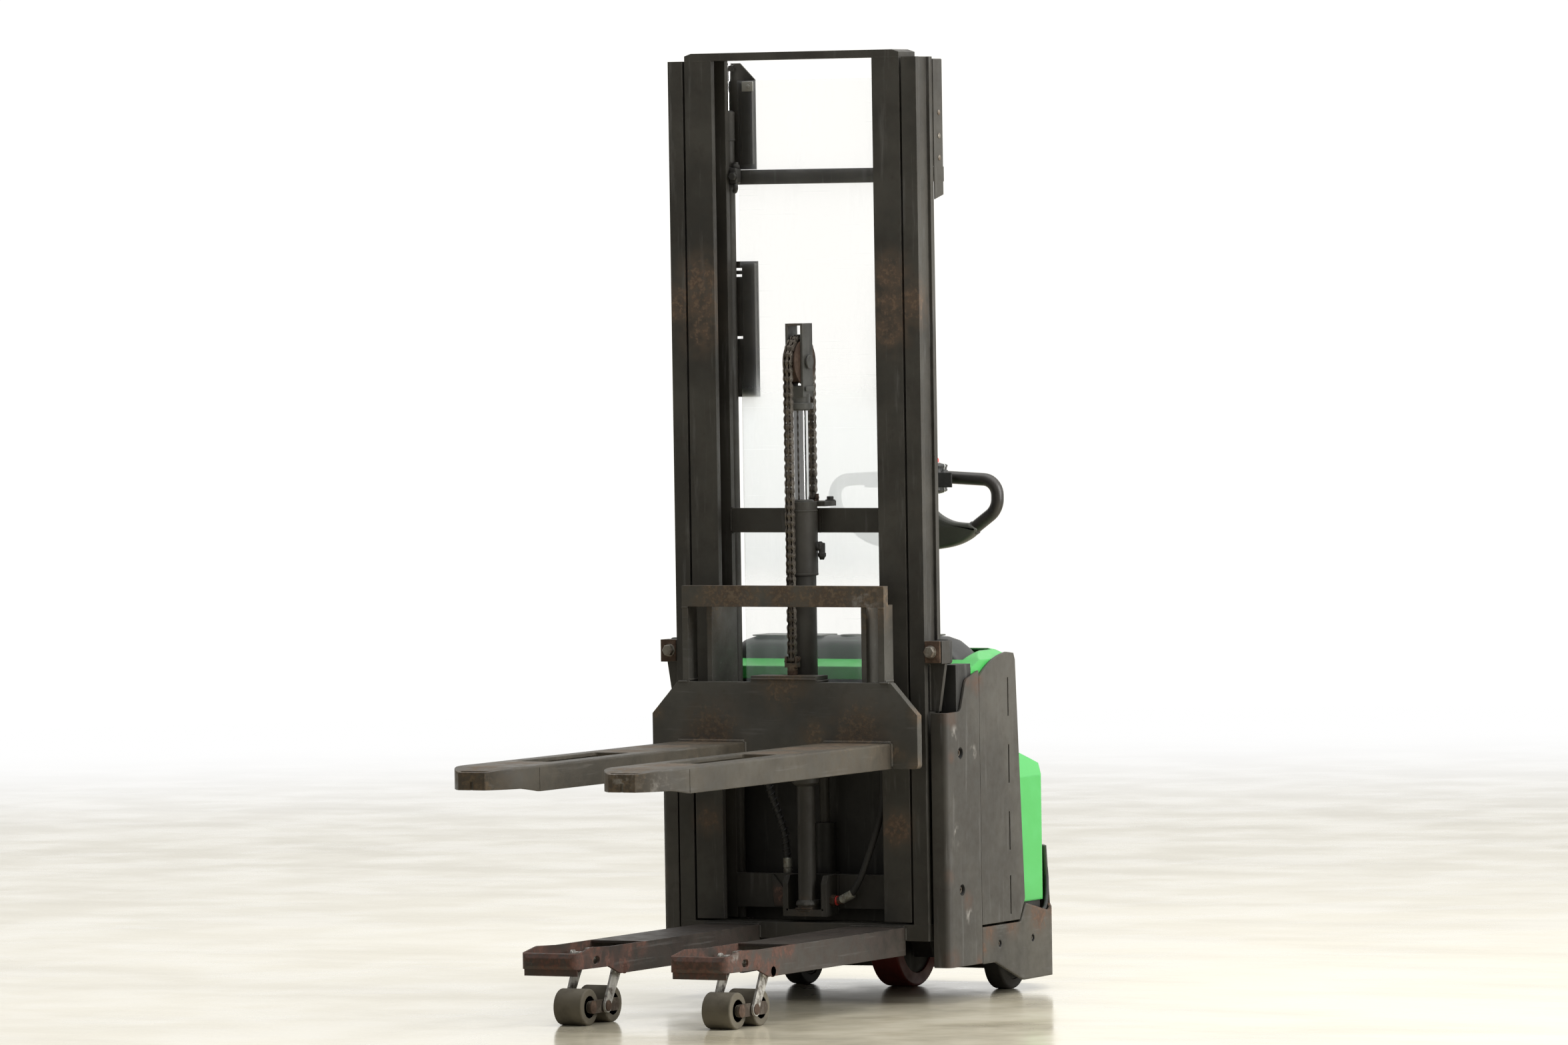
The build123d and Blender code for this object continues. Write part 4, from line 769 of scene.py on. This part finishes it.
clips = Shape()
for x, z in ((-176, 2176), (176, 2176), (176, 1243), (-176, 640), (176, 640)):
    clips.box(x - 15, x + 15, 194.0, 198.3, z - 12, z + 12, edge=1.5)
    clips.lathe((x + (3 if x < 0 else -3), 194, z), (0, -1, 0),
                ((0, 5), (1.6, 5), (2.4, 3.4), (2.5, 1)), steps=14)
clips.piece("screen_clips", nylon, "lift_frame", "bright_metal")

ears = Shape()
EAR_X = high("rear_guards").x
for side in (-1, 1):
    ears.plate([(170.5, 1900), (216, 1911), (216, 2231), (170.5, 2231)], side * (EAR_X + 0.1),
               side * (EAR_X + 2.6), SECTION, edge=0.6)
ears.piece("guard_ears", frame_paint, "lift_frame", "frame_paint")

# ======== Mast welds, bolts and the carriage ========

mast_welds = Shape()
mast_welds.mirrored_welds((
    ((214.5, 156, 1113), (214.5, 168, 1113), 3.0),
    ((214.5, 156, 1171), (214.5, 168, 1171), 3.0),
    ((214.5, 151.5, 1116), (214.5, 151.5, 1168), 3.2),
    ((47, 90, 219), (47, 148, 219), 3.0),
    ((58.5, 150.5, 215), (58.5, 150.5, 298), 3.0),
    ((217, 88, 2236.5), (285, 88, 2236.5), 2.6)))
mast_welds.weld((-21, 84.5, 222), (21, 84.5, 222), 2.4)
mast_welds.piece("mast_welds", frame_paint, "inner_mast", "frame_paint")

frame_welds = Shape()
frame_welds.mirrored_welds((
    ((122, 85.5, 182.5), (268, 85.5, 182.5), 3.4),
    ((271, 85.5, 152), (271, 85.5, 180), 3.0),
    ((119, 85.5, 152), (119, 85.5, 180), 3.0),
    ((332.5, 90, 806), (332.5, 126, 806), 3.0),
    ((332.5, 89, 808), (332.5, 89, 857), 3.0),
    ((332.5, 112, 694), (332.5, 112, 804), 2.6)))
frame_welds.piece("frame_welds", frame_paint, "lift_frame", "frame_paint")

fork_welds = Shape()
FORK_TOP = high("fork_left").z
fork_welds.mirrored_welds((
    ((106, -1.5, FORK_TOP + 1), (284, -1.5, FORK_TOP + 1), 5.0, 4.6),
    ((285.5, -1.5, FORK_TOP - 54), (285.5, -1.5, FORK_TOP), 4.0),
    ((104.5, -1.5, FORK_TOP - 54), (104.5, -1.5, FORK_TOP), 4.0),
    ((281, -2, 764), (258, -2, 764), 2.4),
    ((270, 2, 768), (270, 42, 768), 3.0),
    ((254, 2, 768), (254, 42, 768), 3.0),
    ((270.3, 1, 940), (254, 1, 940), 2.6)))
fork_welds.weld((-86, -0.6, 771), (86, -0.6, 771), 2.4)
fork_welds.weld((-87.5, 2, 766), (-87.5, 58, 766), 3.0)
fork_welds.weld((87.5, 2, 766), (87.5, 58, 766), 3.0)
fork_welds.piece("carriage_welds", carriage_paint, "carriage", "fork_paint")

seams = Shape()
for side in (-1, 1):
    for face in (side * ARM_X - 90.15, side * ARM_X + 90.15):
        seams.weld((face, -996, FORK_TOP - 58), (face, -996, FORK_TOP - 5), 1.3, pitch=2.2)
seams.piece("fork_tip_seams", fork_paint, "carriage", "fork_paint", smooth=60)

lug_bolts, lug_pads, lug_plates = Shape(), Shape(), Shape()
for side in (-1, 1):
    lug_plates.plate(rounded_box(side * 334, side * 374, 808, 859.5, 2), 82.5, 88, FACING, edge=0.8)
    lug_bolts.hexagon((side * 350, 82.5, 834), (0, -1, 0), 24, 11, washer=15)
    lug_pads.box(side * 338, side * 375.5, 129, 150, 803, 862, edge=7)
lug_plates.piece("lug_plates", rusty_steel, "lift_frame", "frame_paint")
lug_bolts.piece("lug_bolts", plated_bolt, "lift_frame", "bright_metal")
lug_pads.piece("lug_pads", cast_steel, "lift_frame", "frame_paint")

# ======== Cylinder foot, hoses and fittings ========

foot = Shape()
gusset = [(-112, 222), (-104, 222), (-62, 222), (-62, 232), (-112, 298), (-118, 298), (-118, 290)]
foot.plate(gusset, 146, 151.5, FACING, edge=0.8)
for z, profile in ((229, ((0, 21), (0, 27), (3, 28), (9, 26), (13, 22), (14, 21))),
                   (512, ((0, 20.8), (2, 26), (8, 32), (9, 32.8), (9, 20.8)))):
    foot.lathe((0, CYL_Y, z), UP, profile, ring=True)
foot_paint = painted("foot_enamel", DARK, FADED, under=(0.23, 0.13, 0.1), spots=[(-90, 148, 250, 46)],
                     bare=[(0, 92, 216, 34)])
foot.piece("cylinder_foot_details", foot_paint, "inner_mast", "frame_paint")


def route_line(name, points):
    """Centre line of a hose: the NURBS spline of its route, read as points in millimetres."""
    data = bpy.data.curves.new(name, "CURVE")
    data.dimensions = "3D"
    spline = data.splines.new("NURBS")
    spline.points.add(len(points) - 1)
    for control, point in zip(spline.points, points):
        control.co = (*point, 1.0)
    spline.order_u = 3
    spline.use_endpoint_u = True
    spline.resolution_u = 12
    holder = bpy.data.objects.new(name, data)
    bpy.context.scene.collection.objects.link(holder)
    bpy.context.view_layer.update()
    mesh = bpy.data.meshes.new_from_object(holder)
    line = [vertex.co.copy() for vertex in mesh.vertices]
    bpy.data.objects.remove(holder)
    bpy.data.meshes.remove(mesh)
    return line


HOSE_RADIUS = 8.0
ELBOW_Y, ELBOW_Z = 118, 240
left_route = ((-93, 183, 262), (-93, 183, 345), (-100, 178, 410), (-126, 164, 490), (-140, 160, 545),
              (-140, 160, 585))
right_route = ((58, 118, 240), (100, 118, 240), (138, 114, 290), (166, 120, 370), (184, 142, 450),
               (178, 160, 520), (178, 160, 585))
left_line = route_line("left_hose_route", left_route)
right_line = route_line("right_hose_route", right_route)
hoses = Shape()
hoses.tube(left_line, HOSE_RADIUS)
hoses.tube(right_line, HOSE_RADIUS)
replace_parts(hoses.piece("hoses", hose_rubber, "inner_mast", "hose_rubber", smooth=60), "hydraulic_hoses")

TURN_PITCH = 15.0
SLEEVE_FOOT = 342
sleeve = Shape()
coil = []
walked = 0.0
for before, here in zip(left_line, left_line[1:]):
    run = here - before
    along = run.normalized()
    level_side = along.cross(Vector((0, 1, 0))).normalized()
    other = along.cross(level_side)
    for step in range(3):
        walked += run.length / 3
        angle = 2 * pi * walked / TURN_PITCH
        coil.append(before + run * (step + 1) / 3
                    + (HOSE_RADIUS + 0.9) * (level_side * cos(angle) + other * sin(angle)))
sleeve.tube([point for point in coil if point.z > SLEEVE_FOOT], 2.3, steps=6)
sleeve.piece("hose_spiral_sleeve", black_plastic, "inner_mast", "hose_rubber", smooth=60)

ferrules = Shape()
ferrules.lathe((-93, 183, 296), UP, ((0, 10.4), (1, 11), (12, 11), (13, 9.8), (16, 9.8), (17, 11),
                                     (38, 11), (40, 9)), steps=24)
ferrules.hexagon((-93, 183, 262), UP, 22, 16)
ferrules.lathe((-93, 183, 276), UP, ((0, 7), (22, 7)), steps=18)
slope = right_line[10] - right_line[6]
ferrules.lathe(right_line[6] - slope.normalized() * 6, slope,
               ((0, 9.4), (1, 10.6), (11, 10.6), (12, 9.4), (14, 9.4), (15, 10.8), (34, 10.8), (36, 9)),
               steps=24)
zinc = metal("ferrule_zinc", (0.42, 0.42, 0.37), (0.17, 0.15, 0.12), 0.42, dirt=0.5, shine=0.6)
ferrules.piece("hose_ferrules", zinc, "inner_mast", "bright_metal")
fitting = Shape()
fitting.hexagon((57, ELBOW_Y, ELBOW_Z), (1, 0, 0), 24, 12)
fitting.lathe((69, ELBOW_Y, ELBOW_Z), (1, 0, 0),
              ((0, 9), (1, 10), (3, 10), (4, 8.5), (20, 8.5), (22, 7)), steps=22)
fitting.piece("hose_elbow", rusty_steel, "inner_mast", "bright_metal")
red_ring = Shape()
red_ring.lathe((71, ELBOW_Y, ELBOW_Z), (1, 0, 0), ((0, 8.6), (0.6, 11.6), (3.4, 11.6), (4, 8.6)), steps=26)
red_ring.piece("hose_red_ring", red_plastic, "inner_mast", "red_button")

# ======== Support arms and load wheels ========

SIDES = (("left", -1), ("right", 1))
WHEEL_HALF = 37.0
LINK_FACE = WHEEL_HALF + 17.6
LINK_PIVOT = (-579, 127)
FRONT_AXLE_Y = -684
BOGIE_PIN_Y = -627
AXLE_Z = 42.5
arm_details = Shape()
for side in (-1, 1):
    x = side * ARM_X
    arm_details.two_faces((x, *LINK_PIVOT), 71, ((0, 13), (3.2, 13), (4, 12)), 24)
    arm_details.two_faces((x, -655, 147), 71, ((0, 9), (3.6, 9), (4.4, 7.5)), 20)
    arm_details.box(x - 70, x + 70, -800, -797, 122, 174)
arm_details.piece("arm_details", arm_paint, "lift_frame", "arm_paint")

for side_name, side in SIDES:
    for end in ("front", "rear"):
        wheel = f"load_wheel_{side_name}_{end}"
        centre = middle(wheel)
        half = (high(wheel).x - low(wheel).x) / 2
        hub = Shape()
        hub.two_faces(centre, half - 6, ((0, 25.8), (1.6, 25.4), (2, 23), (1.2, 21.5), (2.6, 18), (3.4, 15),
                                         (3.4, 14.2)), 30)
        hub.piece(f"{wheel}_bearing", roller_steel, wheel, "roller_steel")
        band = Shape()
        band.two_faces(centre, half - 1.4, ((0, 34.6), (1.25, 34.2), (1.3, 27.2), (0, 26.6)), 36)
        band.piece(f"{wheel}_core_rim", rusty_steel, wheel, "roller_steel")

for side_name, side in SIDES:
    caps = Shape()
    caps.two_faces((side * ARM_X, FRONT_AXLE_Y, AXLE_Z), WHEEL_HALF + 8.5,
                   ((0, 14.6), (1.2, 15.6), (3, 15.2), (3.6, 10), (4.2, 9.2), (5, 5)), 26)
    caps.piece(f"bogie_{side_name}_axle_caps", rusty_steel, f"bogie_{side_name}", "worn_steel")

link_details, pin_heads = Shape(), Shape()
for side in (-1, 1):
    x = side * ARM_X
    link_details.two_faces((x, *LINK_PIVOT), LINK_FACE, ((0, 17), (1.6, 17), (2.6, 15)), 26)
    link_details.two_faces((x, -607, 80), LINK_FACE, ((0, 6.5), (0.9, 6.5), (1.2, 5.5)), 18)
    pin_heads.two_faces((x, BOGIE_PIN_Y, AXLE_Z), LINK_FACE,
                        ((0, 12.8), (2.2, 12.8), (3.4, 11), (3.8, 6)), 26)
link_details.piece("link_bosses", link_steel, "wheel_links", "worn_steel")
pin_heads.piece("link_pin_heads", rusty_steel, "pivot_pins", "worn_steel")

# ======== Side panels and skirt ========

PANEL_X = high("front_panels").x
panel_holes = ((160, 592), (160, 268))
skirt_holes = ((353, 128), (528, 129))
recess, panel_screws = Shape(), Shape()
for y, z in panel_holes:
    recess.two_faces((0, y, z), PANEL_X - 14, ((0, 12.3), (13.2, 12.3), (13.8, 13.6), (14, 13.6), (14, 11.9),
                                               (2, 11.6), (1.5, 2)), 26)
    panel_screws.two_faces((0, y, z), PANEL_X - 12,
                           ((0, 9), (5, 9), (6, 8.2), (6, 4.6), (3, 4.4), (3, 1)), 20)
for y, z in skirt_holes:
    recess.two_faces((0, y, z), PANEL_X - 9, ((0, 7.9), (8.4, 7.9), (8.9, 8.8), (9, 8.8), (9, 7.4),
                                              (2, 7.2), (1.5, 1)), 22)
    panel_screws.two_faces((0, y, z), PANEL_X - 7,
                           ((0, 5.4), (3, 5.4), (3.6, 4.8), (3.6, 2.4), (2, 2.2), (2, 0.5)), 18)
recess.piece("screw_cups", seal_rubber, "chassis", "black_plastic")
panel_screws.piece("panel_screws", plated_bolt, "chassis", "bright_metal")

seal = Shape()
half_lip = ((-382, 500, 212), (-382, 628, 196), (-306, 752, 330), (-150, 776, 336), (0, 780, 336))
lip = [*half_lip, *((-x, y, z) for x, y, z in reversed(half_lip[:-1]))]
seal.tube(smooth_line([(x * 0.972, y - 6.5, z) for x, y, z in lip], 8), 4.6, steps=10)
seal.piece("skirt_seal", seal_rubber, "chassis", "black_plastic", smooth=60)

dust_strips = Shape()
for side in (-1, 1):
    dust_strips.box(side * (PANEL_X - 6.5), side * (PANEL_X - 5.0), 405, 423, 190, 762, edge=0.4)
dust_strips.piece("panel_joint_strips", seal_rubber, "chassis", "black_plastic")

# ======== Hoods and console ========

CONSOLE_FRONT, CONSOLE_BACK = low("console").y, high("console").y
CONSOLE_FOOT, CONSOLE_TOP = 776, 858
hump = Shape()
crown = [(CONSOLE_BACK - 4, 812), (CONSOLE_BACK - 16, 842), (CONSOLE_BACK - 42, 857), (350, 860),
         (CONSOLE_FRONT + 30, 855), (CONSOLE_FRONT + 10, 838), (CONSOLE_FRONT + 3, 806)]
outline = [(CONSOLE_FRONT + 2, CONSOLE_FOOT), (CONSOLE_BACK - 2, CONSOLE_FOOT), *smooth_line(crown, 5)]
hump_end = [(331, 0.16, 0.8), (326, 0.26, 0.88), (312, 0.46, 0.94), (292, 0.7, 0.98), (272, 0.89, 1.0),
            (248, 0.98, 1.0), (210, 1.0, 1.0)]
stations = [(-x, drop, pinch) for x, drop, pinch in hump_end] + [(-40, 1.0, 1.0), (30, 1.0, 1.0)]
stations += hump_end[::-1]
hump.skin([[(x, 357 + (y - 357) * pinch, CONSOLE_FOOT + (z - CONSOLE_FOOT) * drop) for y, z in outline]
           for x, drop, pinch in stations])
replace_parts(hump.piece("console_hump", black_plastic, "chassis", "black_plastic", smooth=40), "console")

insets = Shape()
insets.plate(rounded_box(-250, -60, 306, 404, 14), 858.6, 861.4, edge=1.2)
insets.plate(rounded_box(70, 232, 318, 402, 12), 858.6, 862, edge=1.2)
insets.lathe((0, 350, CONSOLE_TOP), UP, ((0, 26), (3.2, 26), (4, 25), (4, 22), (3, 21.5), (3, 1)),
             steps=40)
insets.piece("console_insets", wing_plastic, "chassis", "black_plastic")
collar = Shape()
collar.lathe((180, 360, CONSOLE_TOP), UP, ((0, 27), (3.2, 27), (4.2, 26), (4.2, 14.8), (0, 14.8)),
             steps=36, ring=True)
yellow_plastic = moulded("yellow_plastic", (0.6, 0.42, 0.03), (0.3, 0.22, 0.05), rough=0.4)
collar.piece("stop_collar", yellow_plastic, "chassis", "black_plastic")
key_collar = Shape()
key_collar.lathe((110, 370, CONSOLE_TOP + 1), UP, ((0, 12.5), (4, 12), (5, 9.5), (5, 8.6), (0, 8.6)),
                 ring=True)
key_collar.piece("key_collar", plated_bolt, "chassis", "bright_metal")

hood_trim = Shape()
hood_trim.box(-372, 372, 237.5, 243, 752, 759.5, edge=1.5)
for side in (-1, 1):
    hood_trim.lathe((side * 352, 236.5, 778), (0, -1, 0), ((0, 7), (1.5, 7), (2.5, 5), (2.6, 1)), steps=18)
hood_trim.piece("hood_front_seal", seal_rubber, "chassis", "black_plastic")

handle = Shape()
handle.plate(rounded_box(-70, 70, 436, 449, 5), 824.5, 829, edge=1.5)
handle.piece("hood_grip_lip", black_plastic, "chassis", "black_plastic")

# ======== Tiller ========

TILLER_Y = 700.0
GRIP_RADIUS = 15.5


def rounded_path(points, radii, steps=10):
    """Polyline in the X-Z plane of the tiller with its corners turned into arcs."""
    line = [Vector(points[0])]
    for before, here, after, radius in zip(points, points[1:], points[2:], radii):
        a = (Vector(before) - Vector(here)).normalized()
        b = (Vector(after) - Vector(here)).normalized()
        half = a.angle(b) / 2
        centre = Vector(here) + (a + b).normalized() * radius / sin(half)
        start = (Vector(here) + a * radius / tan(half) - centre).normalized()
        end = (Vector(here) + b * radius / tan(half) - centre).normalized()
        for step in range(steps + 1):
            line.append(centre + radius * start.slerp(end, step / steps))
    line.append(Vector(points[-1]))
    return line


tiller = Shape()
for side in (-1, 1):
    corners = [(side * x, TILLER_Y, z) for x, z in ((60, 1229), (221, 1220), (221, 1150), (150, 1099))]
    path = rounded_path(corners, (38, 50))
    tiller.tube(path, GRIP_RADIUS, steps=22)
grips = tiller.piece("tiller_grips", grip_rubber, "tiller", "black_plastic", smooth=60)
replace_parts(grips, "tiller_head")

wing = Shape()
upper = [(36, 1196), (38, 1172), (50, 1150), (72, 1133), (102, 1121), (134, 1117), (152, 1116)]
lower = [(166, 1094), (150, 1080), (124, 1067), (92, 1058), (50, 1052), (20, 1050)]
half_wing = smooth_line([*lower[::-1], (171, 1104), *upper[::-1]], 4)
wing_outline = [(p.x, p.y) for p in half_wing] + [(-p.x, p.y) for p in reversed(half_wing)]
half_wing_layers = ((9, -19), (4, -17.6), (1.2, -14), (0, -8))
layers = [*half_wing_layers, *((inset, -w) for inset, w in reversed(half_wing_layers))]
wing.skin([[(u, TILLER_Y + w, v) for u, v in offset(wing_outline, inset)] for inset, w in layers])
wing.piece("tiller_wing", wing_plastic, "tiller", "black_plastic", smooth=50)

collars = Shape()
for side in (-1, 1):
    toward = Vector((side * 71, 0, 51)).normalized()
    foot_of_grip = Vector((side * 158, TILLER_Y, 1104.7))
    collars.lathe(foot_of_grip - toward * 4, toward, ((0, 16.2), (1, 17.4), (7, 17.4), (8, 15.4)), steps=26)
    collars.lathe((side * 76, TILLER_Y, 1227.6), (side, 0, -0.056), ((0, 19), (7, 18.4), (9, 16.6),
                                                                     (10, 15.4)), steps=26)
collars.piece("grip_collars", black_plastic, "tiller", "black_plastic")

pod = Shape()
pod_side = [(64, 1190), (76, 1204), (78, 1222), (76, 1246), (66, 1261)]
pod_outline = [(-64, 1190), *pod_side, *((-x, z) for x, z in pod_side[:0:-1])]
half_pod = ((14, -26.5), (6, -25), (1.5, -20), (0, -12))
pod_layers = [*half_pod, *((inset, -w) for inset, w in reversed(half_pod))]
smooth_pod = [(p.x, p.y) for p in smooth_line(pod_outline, 4, closed=True)]
pod.skin([[(u, TILLER_Y + w, v) for u, v in offset(smooth_pod, inset)] for inset, w in pod_layers])
pod.piece("tiller_pod", black_plastic, "tiller", "black_plastic", smooth=40)

rim = Shape()
rim.tube([(u, TILLER_Y, v) for u, v in offset(smooth_pod, -0.2)], 2.2, steps=8, loop=True)
rim_silver = metal("rim_silver", (0.5, 0.51, 0.5), (0.25, 0.25, 0.24), 0.38, shine=0.7)
rim.piece("pod_rim", rim_silver, "tiller", "bright_metal", smooth=60)

boot = Shape()
boot.lathe((0, TILLER_Y, 604), UP, ((0, 40), (2, 42), (8, 42), (12, 37), (16, 40), (20, 36),
                                    (24, 38), (26, 30)), steps=32)
boot.piece("tiller_boot", seal_rubber, "drive_unit", "black_plastic")

# ======== Casters and drive wheel ========

for side_name, side in SIDES:
    wheel = f"caster_wheel_{side_name}"
    centre = middle(wheel)
    half = (high(wheel).x - low(wheel).x) / 2
    core = Shape()
    core.two_faces(centre, half - 5, ((0, 51.5), (2.6, 51), (3.2, 48), (1, 44), (0.6, 24), (4, 20), (5.2, 17),
                                      (5.2, 9)), 36)
    core.piece(f"{wheel}_core", cast_steel, wheel, "cast_parts")
    nuts = Shape()
    for inward in (-1, 1):
        nuts.hexagon((centre.x + inward * (half + 8.2), centre.y, centre.z), (inward, 0, 0), 20, 8, washer=14)
    nuts.piece(f"caster_nuts_{side_name}", plated_bolt, f"caster_{side_name}", "bright_metal")

drive = middle("drive_tyre")
drive_details = Shape()
for k in range(6):
    angle = k * pi / 3 + pi / 6
    drive_details.hexagon((-31.8, drive.y + 54 * cos(angle), drive.z + 54 * sin(angle)), (-1, 0, 0), 15, 6)
drive_details.lathe((-32, drive.y, drive.z), (-1, 0, 0), ((0, 36), (3, 36), (4.5, 33), (5, 21)), steps=32)
drive_details.piece("drive_hub_bolts", plated_bolt, "drive_wheel", "bright_metal")
